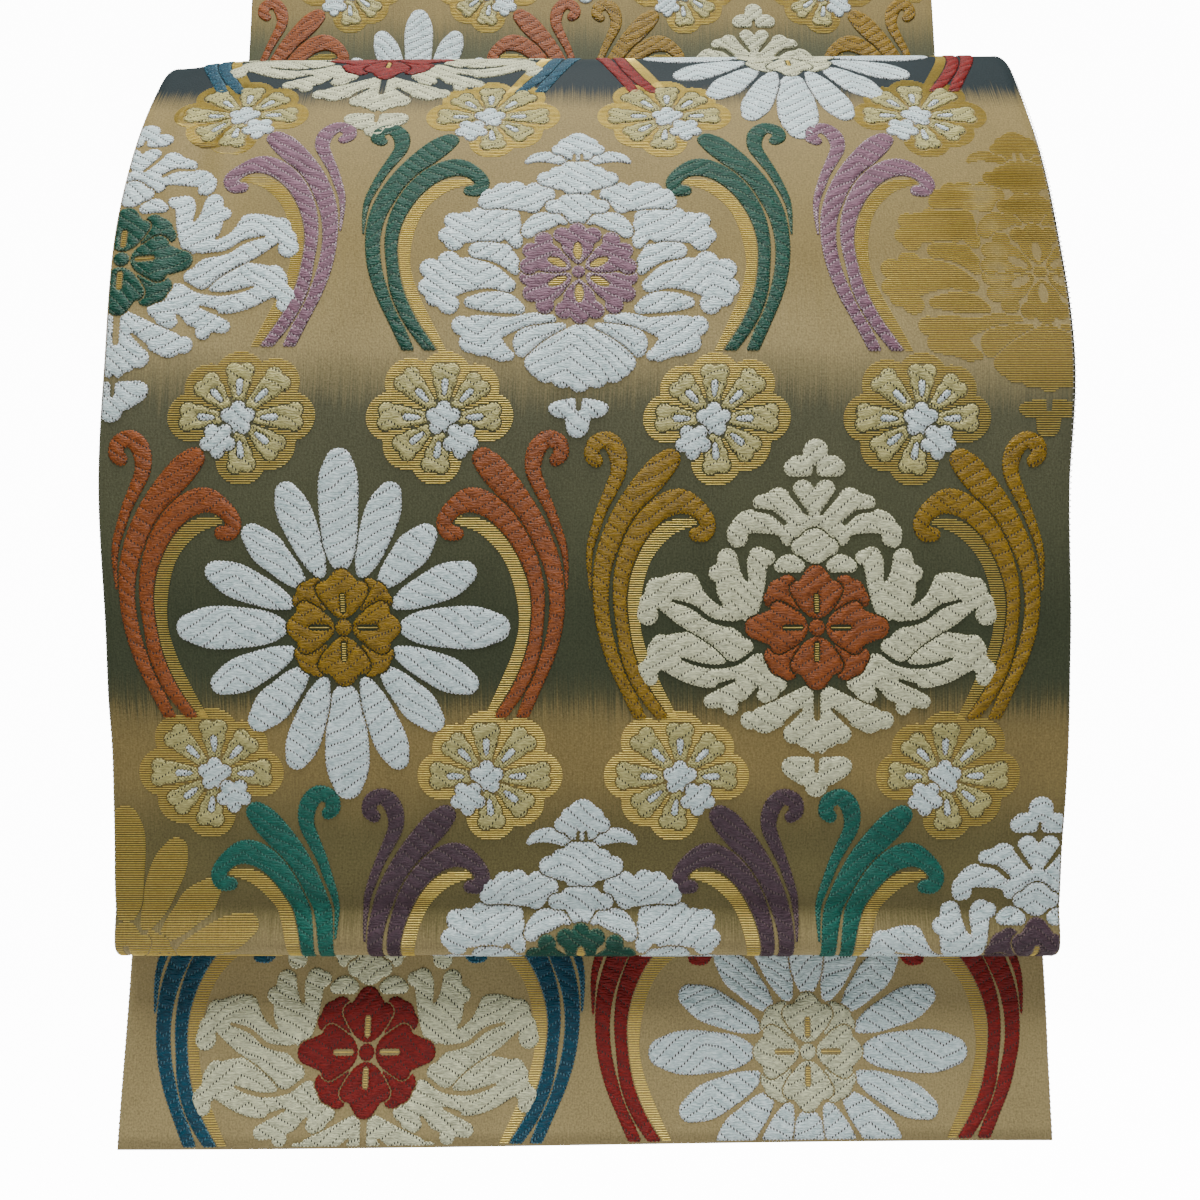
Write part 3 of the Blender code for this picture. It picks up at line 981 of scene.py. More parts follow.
def side_limits(across, down, stretch, side):
    """Limits for the group on a flower's left (-1) or right (1), as drawn on the left, or None."""
    limits = limits_of(across, down, stretch)
    if limits is None:
        return None
    low_x, low_y, high_x, high_y = limits
    low_y = max(low_y, SCROLL_FOOT)
    if side > 0:
        low_x, high_x = -high_x, -low_x
    low_x, high_x = max(low_x, FLOWER_REACH[0]), min(high_x, -0.5)
    if low_x >= high_x or low_y >= high_y:
        return None
    return low_x, low_y, high_x, high_y


def silk_patches():
    """All silk patches, by thread colour: rows of (patch, across, down, side)."""
    made = {}
    laid = {}
    for across, down, kind, petals, centre, scrolls, inward, up in placed_flowers():
        spacing = detail_at(down)
        colours = {"petal": petals, "centre": centre, "scroll": scrolls,
                   "white": "white", "streak": "white", "pale_yellow": "pale_yellow"}
        for stretch in PATTERN_STRETCHES:
            groups = [("side", SIDE_LEAVES, side, across - side * inward, down - up,
                       side_limits(across - side * inward, down - up, stretch, side))
                      for side in (-1, 1)]
            if not kind.startswith("shadow"):
                groups.append((kind, FLOWER_LEAVES[kind], -1, across, down,
                               limits_of(across, down, stretch)))
            for name, leaves, side, place, place_down, limits in groups:
                if limits is None:
                    continue
                key = (name, limits, spacing)
                if key not in made:
                    made[key] = leaf_patches(leaves, limits, spacing)
                for role, patch in made[key]:
                    laid.setdefault(colours[role], []).append((patch, place, place_down, side))
    return laid


def gold_rows(pitch):
    """All gold weft lines on the cloth: (across, across, down) rows in cm."""
    made = {}
    rows = []
    for across, down, kind, _, _, _, inward, up in placed_flowers():
        slits = [leaf for role, leaf in FLOWER_LEAVES[kind] if role in ("gold", "slit")]
        bars = [leaf for role, leaf in FLOWER_LEAVES[kind] if role == "gold"]
        petals = [leaf for role, leaf in FLOWER_LEAVES[kind] if role not in ("gold", "slit")]
        for stretch in PATTERN_STRETCHES:
            limits = limits_of(across, down, stretch)
            key = (kind, limits)
            if limits is not None and key not in made:
                if kind.startswith("shadow"):
                    made[key] = gold_lines(petals, slits, limits, pitch)
                else:
                    made[key] = gold_lines(bars, (), limits, pitch)
            rows.extend((across + start, across + end, down - y)
                        for start, end, y in made.get(key, ()))
            for side in (-1, 1):
                place, place_down = across - side * inward, down - up
                limits = side_limits(place, place_down, stretch, side)
                key = ("side", limits)
                if limits is not None and key not in made:
                    made[key] = gold_lines(SIDE_GOLD, [leaf for _, leaf in SIDE_LEAVES], limits,
                                           pitch)
                rows.extend((place - side * start, place - side * end, place_down - y)
                            for start, end, y in made.get(key, ()))
    return rows


# ================================================================ meshes
def new_piece(name, vertices, faces, materials):
    """A mesh object at the origin."""
    mesh = bpy.data.meshes.new(name)
    mesh.from_pydata(vertices, [], faces)
    for material in materials:
        mesh.materials.append(material)
    piece = bpy.data.objects.new(name, mesh)
    bpy.context.scene.collection.objects.link(piece)
    return piece


def write_cloth_map(mesh, flat):
    """UV map in metres: across the cloth, and from the tail's end."""
    layer = mesh.uv_layers.new(name="cloth")
    corner_vertices = np.empty(len(mesh.loops), dtype=np.int32)
    mesh.loops.foreach_get("vertex_index", corner_vertices)
    layer.data.foreach_set("uv", np.asarray(flat, dtype=np.float32)[corner_vertices].ravel())


def finish_normals(piece):
    """Turn every face of a closed mesh outwards and shade it smooth."""
    made = bmesh.new()
    made.from_mesh(piece.data)
    bmesh.ops.recalc_face_normals(made, faces=made.faces)
    made.to_mesh(piece.data)
    made.free()
    piece.data.shade_smooth()


def strip_ring(columns, top, bottom):
    """Outline of a cloth's cut edge: across and rise, out along the top and back below."""
    middle, radius = 0.5 * (top + bottom), 0.5 * (top - bottom)
    over = columns * (1.0 - radius / columns[-1])
    angles = np.radians(RING_ANGLES)
    across = np.concatenate((over, over[-1] + radius * np.cos(angles), over[::-1],
                             over[0] - radius * np.cos(angles)))
    rise = np.concatenate((np.full(len(over), top), middle + radius * np.sin(angles),
                           np.full(len(over), bottom), middle - radius * np.sin(angles)))
    return across, rise


def loft_faces(rows, columns):
    """Faces of a tube of strip rings with its two ends closed."""
    bend = len(RING_ANGLES)
    count = 2 * (columns + 1 + bend)
    lower_end = 2 * columns + 1 + bend
    corner = np.arange(count)
    following = (corner + 1) % count
    faces = []
    for row in range(rows - 1):
        near, far = row * count, (row + 1) * count
        faces.extend(np.column_stack((corner + near, following + near, following + far,
                                      corner + far)).tolist())
    for start in (0, (rows - 1) * count):
        top = np.arange(columns)
        below = lower_end - top
        faces.extend((np.column_stack((top, top + 1, below - 1, below)) + start).tolist())
        faces.append([start + columns + step for step in range(bend + 2)])
        faces.append([start + (lower_end + step) % count for step in range(bend + 2)])
    return faces


def peep(from_tail):
    """How far the lining shows past the face at its right-hand edge.

    It shows in full over the middle third of its length, and fades out to both ends.
    """
    share = 1.0 - ease(3.0 * np.abs(from_tail - PEEP_MIDDLE) / PEEP_LENGTH - 0.5)
    return LINING_PEEP * share


def make_cloth(name, top, bottom, columns, row_limits, reach, material):
    """One cloth along the whole route, as a thin closed shell with rounded edges."""
    distances = route_path(*row_limits)[0]
    for low, high in CREASED_STRETCHES:
        distances = np.concatenate((distances[distances < low], np.arange(low, high, CREASED_STEP),
                                    distances[distances >= high]))
    across, rise = strip_ring(columns, top, bottom)
    # Only the right-hand quarter is drawn out to the side.
    right_share = ease(4.0 * across / CLOTH_WIDTH - 1.0)
    overs = across[None, :] + right_share[None, :] * reach(distances)[:, None]
    froms = np.repeat(distances[:, None], len(across), axis=1)
    rises = np.repeat(rise[None, :], len(distances), axis=0)
    points = cloth_points(overs.ravel(), froms.ravel(), rises.ravel())
    faces = loft_faces(len(distances), len(columns) - 1)
    piece = new_piece(name, points.tolist(), faces, [material])
    finish_normals(piece)
    write_cloth_map(piece.data, np.column_stack((overs.ravel(), froms.ravel())))
    return piece


def layers_path():
    """The hidden layers' zigzag: y, z and heading along it."""
    radius = 0.5 * CLOTH_WALL
    floor = CLOTH_WALL - BAR_RADIUS - BACK_HEIGHT
    high = LAYERS_TOP - radius

    def low_end(y):
        """Where a layer turns at its foot."""
        return floor - math.sqrt((0.5 * LAYERS_DEPTH) ** 2 - y ** 2) + radius

    rows = []
    for layer in range(LAYER_COUNT):
        y = -0.5 * LAYERS_DEPTH + (layer + 0.5) * CLOTH_WALL
        low = low_end(y) if layer else floor + INNER_HEIGHT
        rising = layer % 2 == 0
        start, end = (low, high) if rising else (high, low)
        heading = 270.0 if rising else 90.0
        rows.extend((y, z, heading) for z in np.linspace(start, end, LAYER_POINTS))
        if layer < LAYER_COUNT - 1:
            way = 1.0 if rising else -1.0
            turn_z = high if rising else min(low, low_end(y + CLOTH_WALL))
            for degrees in range(LAYER_TURN, 180, LAYER_TURN):
                turned = math.radians(degrees)
                rows.append((y + radius - radius * math.cos(turned),
                             turn_z + way * radius * math.sin(turned),
                             heading + way * degrees))
    return rows


# ================================================================ node helpers
NODE_SPACING = 180.0


def feed(tree, node, inputs):
    """Put values or links on a node's inputs."""
    for key, value in inputs.items():
        if isinstance(value, bpy.types.NodeSocket):
            tree.links.new(value, node.inputs[key])
        else:
            node.inputs[key].default_value = value


def add_node(tree, kind, inputs=None, **settings):
    """A node with its settings, and with values or links on its inputs."""
    made = tree.nodes.new(kind)
    made.location = (NODE_SPACING * len(tree.nodes), 0.0)
    for name, value in settings.items():
        setattr(made, name, value)
    feed(tree, made, inputs or {})
    return made


def use_group(tree, group, inputs=None):
    """A placed node group."""
    return add_node(tree, "ShaderNodeGroup", inputs, node_tree=group)


def maths(tree, operation, *values):
    """Result of a Math node."""
    made = add_node(tree, "ShaderNodeMath", dict(enumerate(values)), operation=operation)
    return made.outputs[0]


def mix_colours(tree, share, first, second, blend="MIX"):
    """Result of mixing two colours."""
    made = add_node(tree, "ShaderNodeMix", {0: share, 6: first, 7: second}, data_type="RGBA",
                    blend_type=blend)
    return made.outputs[2]


def built_once(name):
    """Mark a maker of a node group, so that a group already there is used again."""
    def marked(make):
        return lambda: bpy.data.node_groups.get(name) or make()
    return marked


def new_group(name, inputs, outputs, kind_of_tree="ShaderNodeTree"):
    """A node group with named sockets. Returns it and its two ends."""
    tree = bpy.data.node_groups.new(name, kind_of_tree)
    for in_out, sockets in (("INPUT", inputs), ("OUTPUT", outputs)):
        for socket_name, kind, default in sockets:
            socket = tree.interface.new_socket(socket_name, in_out=in_out, socket_type=kind)
            if default is not None:
                socket.default_value = default
    start = tree.nodes.new("NodeGroupInput")
    end = tree.nodes.new("NodeGroupOutput")
    return tree, start, end


def cloth_axes(tree):
    """Across and lengthwise places on the cloth, in metres."""
    place = add_node(tree, "ShaderNodeUVMap", uv_map="cloth")
    split = add_node(tree, "ShaderNodeSeparateXYZ", {"Vector": place.outputs["UV"]})
    return split.outputs["X"], split.outputs["Y"]


@built_once("Thread grain")
def grain_group():
    """Uneven thread: noise drawn out along the thread."""
    tree, start, end = new_group(
        "Thread grain",
        (("Across scale", "NodeSocketFloat", 200.0),
         ("Lengthwise scale", "NodeSocketFloat", 200.0), ("Contrast", "NodeSocketFloat", 1.0)),
        (("Value", "NodeSocketFloat", None),))
    across, along = cloth_axes(tree)
    place = add_node(tree, "ShaderNodeCombineXYZ", {
        "X": maths(tree, "MULTIPLY", across, start.outputs["Across scale"]),
        "Y": maths(tree, "MULTIPLY", along, start.outputs["Lengthwise scale"])})
    noise = add_node(tree, "ShaderNodeTexNoise", {
        "Vector": place.outputs["Vector"], "Scale": 1.0, "Detail": 2.0, "Roughness": 0.6})
    spread = maths(tree, "MULTIPLY", maths(tree, "SUBTRACT", noise.outputs["Fac"], 0.5),
                   start.outputs["Contrast"])
    held = add_node(tree, "ShaderNodeClamp", {"Value": maths(tree, "ADD", spread, 0.5)})
    tree.links.new(held.outputs["Result"], end.inputs["Value"])
    return tree


def grain(tree, across, lengthwise, contrast=1.0):
    """Uneven thread: its two scales are in spots for each metre."""
    placed = use_group(tree, grain_group(), {
        "Across scale": across, "Lengthwise scale": lengthwise, "Contrast": contrast})
    return placed.outputs["Value"]


@built_once("Tie rows")
def tie_group():
    """Slanting rows of tie-down stitches: masks for painted shade in the holes and painted
    highlight on the stitches beside them, and the puff.
    """
    tree, start, end = new_group(
        "Tie rows",
        (("Row pitch", "NodeSocketFloat", 0.0041), ("Dot pitch", "NodeSocketFloat", 0.00102),
         ("Zigzag", "NodeSocketFloat", 0.052), ("Slope", "NodeSocketFloat", 0.66),
         ("Wander", "NodeSocketFloat", 0.020), ("Row half width", "NodeSocketFloat", 0.082),
         ("Hole ends", "NodeSocketFloat", 0.50), ("Stitch starts", "NodeSocketFloat", 0.54)),
        (("Hole", "NodeSocketFloat", None), ("Stitch", "NodeSocketFloat", None),
         ("Puff", "NodeSocketFloat", None)))
    across, along = cloth_axes(tree)
    turn_place = maths(tree, "MULTIPLY_ADD", grain(tree, 30.0, 24.0), start.outputs["Wander"],
                       across)
    fold = maths(tree, "PINGPONG", turn_place,
                 maths(tree, "MULTIPLY", start.outputs["Zigzag"], 0.5))
    slanted = maths(tree, "MULTIPLY_ADD", fold, start.outputs["Slope"], along)
    row = maths(tree, "FRACT", maths(tree, "DIVIDE", slanted, start.outputs["Row pitch"]))
    off_row = maths(tree, "ABSOLUTE", maths(tree, "SUBTRACT", row, 0.5))
    dot = maths(tree, "FRACT", maths(tree, "DIVIDE", across, start.outputs["Dot pitch"]))
    hole_shade_dot = maths(tree, "LESS_THAN", dot, start.outputs["Hole ends"])
    lit_stitch_dot = maths(tree, "GREATER_THAN", dot, start.outputs["Stitch starts"])
    on_row = maths(tree, "LESS_THAN", off_row, start.outputs["Row half width"])
    tree.links.new(maths(tree, "MULTIPLY", on_row, hole_shade_dot), end.inputs["Hole"])
    tree.links.new(maths(tree, "MULTIPLY", on_row, lit_stitch_dot), end.inputs["Stitch"])
    tree.links.new(maths(tree, "SQRT", maths(tree, "MULTIPLY", off_row, 2.0)),
                   end.inputs["Puff"])
    return tree


@built_once("Rim beads")
def rim_group():
    """Beads of weft along a float's rim, checkered near it: masks for painted highlight on the
    beads and painted shade in the gaps between them.
    """
    tree, start, end = new_group(
        "Rim beads",
        (("Bead pitch", "NodeSocketFloat", 0.00115), ("Reach", "NodeSocketFloat", 0.72)),
        (("Bead", "NodeSocketFloat", None), ("Gap", "NodeSocketFloat", None)))
    across, along = cloth_axes(tree)
    fullness = add_node(tree, "ShaderNodeAttribute", attribute_name="fullness").outputs["Fac"]
    near = maths(tree, "LESS_THAN", fullness, start.outputs["Reach"])
    pair = [maths(tree, "GREATER_THAN",
                  maths(tree, "FRACT", maths(tree, "DIVIDE", place, start.outputs["Bead pitch"])),
                  0.5) for place in (across, along)]
    checks = maths(tree, "ABSOLUTE", maths(tree, "SUBTRACT", *pair))
    tree.links.new(maths(tree, "MULTIPLY", near, checks), end.inputs["Bead"])
    tree.links.new(maths(tree, "GREATER_THAN", maths(tree, "SUBTRACT", near, checks), 0.5),
                   end.inputs["Gap"])
    return tree


def new_material(name):
    """A material with its node tree and its Principled BSDF."""
    material = bpy.data.materials.new(name)
    material.use_nodes = True
    return material, material.node_tree, material.node_tree.nodes["Principled BSDF"]


def finish_surface(tree, surface, colour, height, strength, distance, constants):
    """Give a surface its colour, its bump and the values that are the same all over it."""
    bump = add_node(tree, "ShaderNodeBump", {"Height": height, "Strength": strength,
                                             "Distance": distance})
    feed(tree, surface, {"Base Color": colour, "Normal": bump.outputs["Normal"], **constants})


def opaque(colour):
    """A colour with full alpha."""
    return (*colour, 1.0)


def tinted(colour, share):
    """A colour made darker or lighter."""
    return tuple(min(channel * share, 1.0) for channel in colour)


def mix_tones(tree, share, colour, tones):
    """Mix a darker and a lighter tone of one colour."""
    return mix_colours(tree, share, *(opaque(tinted(colour, tone)) for tone in tones))


# ================================================================ materials
# Silk: how much of the fibre's tone is broad, how dark and light it gets, how strongly the painted
# highlight on the rim beads and stitches and the painted shade in the rim gaps and tie holes show,
# and how high the puff and the threads stand in the bump.
BROAD_SHARE = 0.35
SILK_TONES = (0.46, 1.36)
GAP_SHADE_SHARE = 0.55
LIT_BEAD_SHARE = 0.70
LIT_STITCH_SHARE = 0.50
HOLE_SHADE_SHARE = 0.95
PUFF_HEIGHT = 1.3
THREAD_HEIGHT = 0.90
# Painted shade: colour of the tie holes and rim gaps on the pale silks, and how far a dark silk's
# own colour is darkened for them.
PAINTED_HOLE_SHADE = (0.022, 0.022, 0.018)
HOLE_SHADE_TONE = 0.35
# Painted highlight: how far a pale silk's own colour is lightened for its stitches and rim beads.
LIT_STITCH_TONE = 1.6
# Colour of the stitches and rim beads on the dark silks, lightened as painted highlight.
DARK_SILK_LIT_STITCHES = {
    "mauve": (0.60, 0.48, 0.50),
    "purple": (0.20, 0.14, 0.13),
    "green": (0.13, 0.20, 0.12),
    "teal": (0.07, 0.24, 0.18),
    "blue": (0.10, 0.26, 0.34),
}
# Ground: how far the dye lines feather and drift, in metres, and the shares of its tone.
DYE_FEATHER = 0.018
DYE_DRIFT = 0.010
WARP_SHARE = 0.4
MOTTLE_SHARE = 0.30
SPECK_SHARE = 0.84
LEAST_TONE = 0.43
LINING_TONES = (0.6, 1.5)
THREAD_TONES = (0.50, 1.45)


def make_silk_material(name, colour, hole_shade_colour, lit_stitch_colour):
    """Glossy silk floats, tied down by small stitches, with painted shade in the tie holes and rim
    gaps and painted highlight on the stitches and rim beads.
    """
    material, tree, surface = new_material("silk_" + name)
    threads = grain(tree, 460.0, 1800.0, 3.2)
    broad = grain(tree, 150.0, 300.0, 2.4)
    ties = use_group(tree, tie_group())
    rims = use_group(tree, rim_group())
    fibre = maths(tree, "MULTIPLY_ADD", broad, BROAD_SHARE,
                  maths(tree, "MULTIPLY", threads, 1.0 - BROAD_SHARE))
    tied = mix_tones(tree, fibre, colour, SILK_TONES)
    # Painted shade in the rim gaps and tie holes, painted highlight on the rim beads and stitches.
    for mask, share, tone in ((rims.outputs["Gap"], GAP_SHADE_SHARE, hole_shade_colour),
                              (rims.outputs["Bead"], LIT_BEAD_SHARE, lit_stitch_colour),
                              (ties.outputs["Stitch"], LIT_STITCH_SHARE, lit_stitch_colour),
                              (ties.outputs["Hole"], HOLE_SHADE_SHARE, hole_shade_colour)):
        tied = mix_colours(tree, maths(tree, "MULTIPLY", mask, share), tied, opaque(tone))
    height = maths(tree, "MULTIPLY_ADD", ties.outputs["Puff"], PUFF_HEIGHT,
                   maths(tree, "MULTIPLY", threads, THREAD_HEIGHT))
    finish_surface(tree, surface, tied, height, 1.0, 0.00042,
                   {"Roughness": 0.50, "Specular IOR Level": 0.22})
    return material


def make_face_material(grounds):
    """Satin ground that changes colour along the cloth, with feathered dye lines."""
    material, tree, surface = new_material("brocade_ground")
    _, along = cloth_axes(tree)
    feather = grain(tree, 2400.0, 20.0, 1.2)
    drift = grain(tree, 28.0, 22.0)
    shifted = along
    for noise, reach in ((feather, DYE_FEATHER), (drift, DYE_DRIFT)):
        centred = maths(tree, "SUBTRACT", noise, 0.5)
        shifted = maths(tree, "MULTIPLY_ADD", centred, reach, shifted)
    ramp = add_node(tree, "ShaderNodeValToRGB", {
        "Fac": maths(tree, "DIVIDE", shifted, ROUTE_LENGTH)})
    stops = ramp.color_ramp.elements
    bands = [((TAIL_DOWN - down) * CM / ROUTE_LENGTH, grounds[name])
             for down, name in reversed(GROUND_BANDS)]
    stops.remove(stops[1])
    stops[0].position = bands[0][0]
    stops[0].color = opaque(bands[0][1])
    for position, colour in bands[1:]:
        stop = stops.new(min(position, 1.0))
        stop.color = opaque(colour)
    speck = maths(tree, "MULTIPLY_ADD", grain(tree, 2600.0, 300.0, 1.6), WARP_SHARE,
                  maths(tree, "MULTIPLY", grain(tree, 1500.0, 1500.0, 2.4), 1.0 - WARP_SHARE))
    tone = maths(tree, "MULTIPLY_ADD", grain(tree, 45.0, 26.0), MOTTLE_SHARE,
                 maths(tree, "MULTIPLY_ADD", speck, SPECK_SHARE, LEAST_TONE))
    shade = add_node(tree, "ShaderNodeCombineColor", {"Red": tone, "Green": tone, "Blue": tone})
    toned = mix_colours(tree, 1.0, ramp.outputs["Color"], shade.outputs["Color"], "MULTIPLY")
    finish_surface(tree, surface, toned, speck, 0.5, 0.00015,
                   {"Roughness": 0.66, "Specular IOR Level": 0.10})
    return material


def make_lining_material(colour):
    """Plain close weave."""
    material, tree, surface = new_material("plain_lining")
    weave = maths(tree, "MULTIPLY_ADD", grain(tree, 2200.0, 260.0), 0.5,
                  maths(tree, "MULTIPLY", grain(tree, 260.0, 2200.0), 0.5))
    toned = mix_tones(tree, weave, colour, LINING_TONES)
    finish_surface(tree, surface, toned, weave, 0.5, 0.0002,
                   {"Roughness": 0.7, "Specular IOR Level": 0.25})
    return material


def make_thread_material(name, colour, metallic, roughness):
    """Laid thread with small uneven glints."""
    material, tree, surface = new_material(name)
    place = add_node(tree, "ShaderNodeTexCoord").outputs["Object"]
    noise = add_node(tree, "ShaderNodeTexNoise", {"Vector": place, "Scale": 1500.0, "Detail": 2.0})
    toned = mix_tones(tree, noise.outputs["Fac"], colour, THREAD_TONES)
    finish_surface(tree, surface, toned, noise.outputs["Fac"], 0.5, 0.0001,
                   {"Metallic": metallic, "Roughness": roughness})
    return material


def make_stage_material(colour, glow, seen_glow):
    """Plain pale paper for the floor and backdrop."""
    material, tree, surface = new_material("pale_paper")
    place = add_node(tree, "ShaderNodeTexCoord").outputs["Object"]
    noise = add_node(tree, "ShaderNodeTexNoise", {"Vector": place, "Scale": 60.0})
    toned = mix_tones(tree, noise.outputs["Fac"], colour, (0.99, 1.0))
    seen = add_node(tree, "ShaderNodeLightPath").outputs["Is Camera Ray"]
    feed(tree, surface, {"Base Color": toned, "Roughness": 0.9, "Emission Color": opaque(colour),
                         "Emission Strength": maths(tree, "MULTIPLY_ADD", seen, seen_glow, glow)})
    return material


# ================================================================ laid thread
@built_once("laid_thread")
def thread_tree():
    """Geometry Nodes: every line of a mesh becomes a thread."""
    tree, start, end = new_group(
        "laid_thread",
        (("Lines", "NodeSocketGeometry", None), ("Thread radius", "NodeSocketFloat", 0.0002),
         ("Sides", "NodeSocketInt", 4), ("Thread material", "NodeSocketMaterial", None)),
        (("Threads", "NodeSocketGeometry", None),), "GeometryNodeTree")
    curve = add_node(tree, "GeometryNodeMeshToCurve", {"Mesh": start.outputs["Lines"]})
    profile = add_node(tree, "GeometryNodeCurvePrimitiveCircle", {
        "Resolution": start.outputs["Sides"], "Radius": start.outputs["Thread radius"]})
    thread = add_node(tree, "GeometryNodeCurveToMesh", {
        "Curve": curve.outputs["Curve"], "Profile Curve": profile.outputs["Curve"],
        "Fill Caps": True})
    real = add_node(tree, "GeometryNodeRealizeInstances", {"Geometry": thread.outputs["Mesh"]})
    coloured = add_node(tree, "GeometryNodeSetMaterial", {
        "Geometry": real.outputs["Geometry"], "Material": start.outputs["Thread material"]})
    tree.links.new(coloured.outputs["Geometry"], end.inputs["Threads"])
    return tree


def make_threads(name, points, edges, radius, sides, material):
    """Thread laid along lines, as a plain mesh."""
    mesh = bpy.data.meshes.new(name + "_lines")
    mesh.from_pydata(points, edges, [])
    piece = bpy.data.objects.new(name, mesh)
    bpy.context.scene.collection.objects.link(piece)
    tree = thread_tree()
    modifier = piece.modifiers.new("thread", "NODES")
    modifier.node_group = tree
    values = {"Thread radius": radius, "Sides": sides, "Thread material": material}
    for item in tree.interface.items_tree:
        if item.in_out == "INPUT" and item.name in values:
            modifier[item.identifier] = values[item.name]
    evaluated = piece.evaluated_get(bpy.context.evaluated_depsgraph_get())
    threads = bpy.data.meshes.new_from_object(evaluated)
    piece.modifiers.clear()
    piece.data = threads
    threads.name = name
    threads.shade_smooth()
    bpy.data.meshes.remove(mesh)
    return piece


# ================================================================ settings
def colour_setting(name, default, description):
    """A colour property."""
    return FloatVectorProperty(name=name, description=description, default=default, size=3,
                               min=0.0, max=1.0, subtype="COLOR")


def length_setting(name, default, description):
    """A length property."""
    return FloatProperty(name=name, description=description, default=default, min=0.0,
                         precision=5, unit="LENGTH", subtype="DISTANCE")


class OBI_PG_silks(PropertyGroup):
    """Colours of the silk floats."""
    white: colour_setting("White", (0.64, 0.93, 0.95), "Cool white silk of petals and blossoms")
    cream: colour_setting("Cream", (0.63, 0.64, 0.41), "Cream silk of the leafy flowers")
    pale_yellow: colour_setting("Pale yellow", (0.44, 0.40, 0.15), "Silk of the blossoms")
    mustard: colour_setting("Mustard", (0.235, 0.136, 0.0005), "Silk of scrolls and a centre")
    orange: colour_setting("Orange", (0.245, 0.060, 0.007), "Silk of scrolls and a centre")
    red: colour_setting("Red", (0.20, 0.006, 0.004), "Silk of scrolls and a centre")
    blue: colour_setting("Blue", (0.001, 0.053, 0.090), "Silk of scrolls")
    teal: colour_setting("Teal", (0.001, 0.105, 0.075), "Silk of scrolls")
    green: colour_setting("Green", (0.002, 0.060, 0.036), "Silk of scrolls and centres")
    mauve: colour_setting("Mauve", (0.195, 0.092, 0.132), "Silk of scrolls and a centre")
    purple: colour_setting("Purple", (0.062, 0.033, 0.046), "Dark silk of scrolls")
    rise: length_setting("Rise", 0.00042, "How far a float stands above the ground")
    rim_rise: length_setting("Rise at the rim", 0.00016, "How far a float's edge stands up")


class OBI_PG_ground(PropertyGroup):
    """Colours of the ground and the lining."""
    tan: colour_setting("Tan", (0.218, 0.165, 0.063), "Tan satin")
    # Sand is the dye, lightened as painted light on the hem strip; the brown band above the crease
    # is painted shade.
    sand: colour_setting("Sand", (0.300, 0.238, 0.110), "Paler tan satin low on the drum")
    shaded_brown: colour_setting("Brown", (0.118, 0.101, 0.041), "Browner satin low on the drum")
    olive: colour_setting("Olive", (0.077, 0.081, 0.044), "Dark olive satin")
    deep: colour_setting("Deep olive", (0.047, 0.055, 0.030), "Darkest olive satin")
    grey: colour_setting("Grey", (0.092, 0.092, 0.053), "Grey-olive satin")
    slate: colour_setting("Slate", (0.010, 0.018, 0.020), "Dark slate satin")
    lining: colour_setting("Lining", (0.030, 0.029, 0.020), "Plain dark lining")


class OBI_PG_threads(PropertyGroup):
    """Gold weft and edge stitches."""
    gold: colour_setting("Gold", (0.92, 0.56, 0.13), "Gold weft")
    gold_pitch: FloatProperty(name="Gold pitch", description="Distance between gold lines, in cm",
                              default=0.075, min=0.05, max=0.4)
    gold_radius: length_setting("Gold radius", 0.00017, "Half thickness of a gold thread")
    stitch: colour_setting("Stitch", (0.72, 0.70, 0.64), "Overcast stitches along the edges")
    stitch_pitch: length_setting("Stitch pitch", 0.0019, "Distance between edge stitches")
    stitch_radius: length_setting("Stitch radius", 0.00013, "Half thickness of a stitch")
    sides: IntProperty(name="Sides", description="Sides of a thread", default=4, min=3, max=12)


class OBI_PG_stage(PropertyGroup):
    """Light, floor and camera."""
    paper: colour_setting("Paper", (0.93, 0.93, 0.93), "Floor and backdrop")
    glow: FloatProperty(name="Glow", description="Glow of the paper", default=0.08, min=0.0)
    seen_glow: FloatProperty(name="Seen glow", description="Extra glow that only the eye meets",
                             default=14.0, min=0.0)
    key: FloatProperty(name="Key light", description="Power of the top light", default=53.0,
                       min=0.0, unit="POWER")
    fill: FloatProperty(name="Fill light", description="Power of the front light", default=2.5,
                        min=0.0, unit="POWER")
    surround: FloatProperty(name="Surround", description="Strength of the world light",
                            default=0.09, min=0.0)
    camera_place: FloatVectorProperty(name="Camera", description="Where the camera stands",
                                      default=(0.0043, -0.4208, -0.4278), size=3,
                                      subtype="TRANSLATION", unit="LENGTH")
    camera_pitch: FloatProperty(name="Pitch", description="How far the camera looks up",
                                default=math.radians(8.4), subtype="ANGLE", unit="ROTATION")
    lens: FloatProperty(name="Lens", description="Focal length in mm", default=30.0, min=10.0)


# ================================================================ the stage (metres)
SWEEP_FLOOR = -0.95
SWEEP_FRONT = -4.0
SWEEP_BEND = 2.2
SWEEP_RADIUS = 0.8
SWEEP_TOP = 3.5
SWEEP_HALF_WIDTH = 4.0
LIGHTS = (
    # name, place, aim, size, setting of its power, share of that power
    ("top_light", (-0.05, -0.68, 1.10), (0.0, -0.06, -0.25), 0.8, "key", 1.0),
    ("front_light", (-0.3, -1.75, -0.05), (0.0, 0.0, -0.35), 1.5, "fill", 1.0),
    ("back_light", (0.6, 1.6, 0.1), (0.0, 0.0, -0.3), 1.4, "key", 0.42),
)
SENSOR_WIDTH = 36.0
CLIP_START = 0.01


# ================================================================ operators
def ride_root(piece):
    """Every piece rides on the one body."""
    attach(piece, "root")


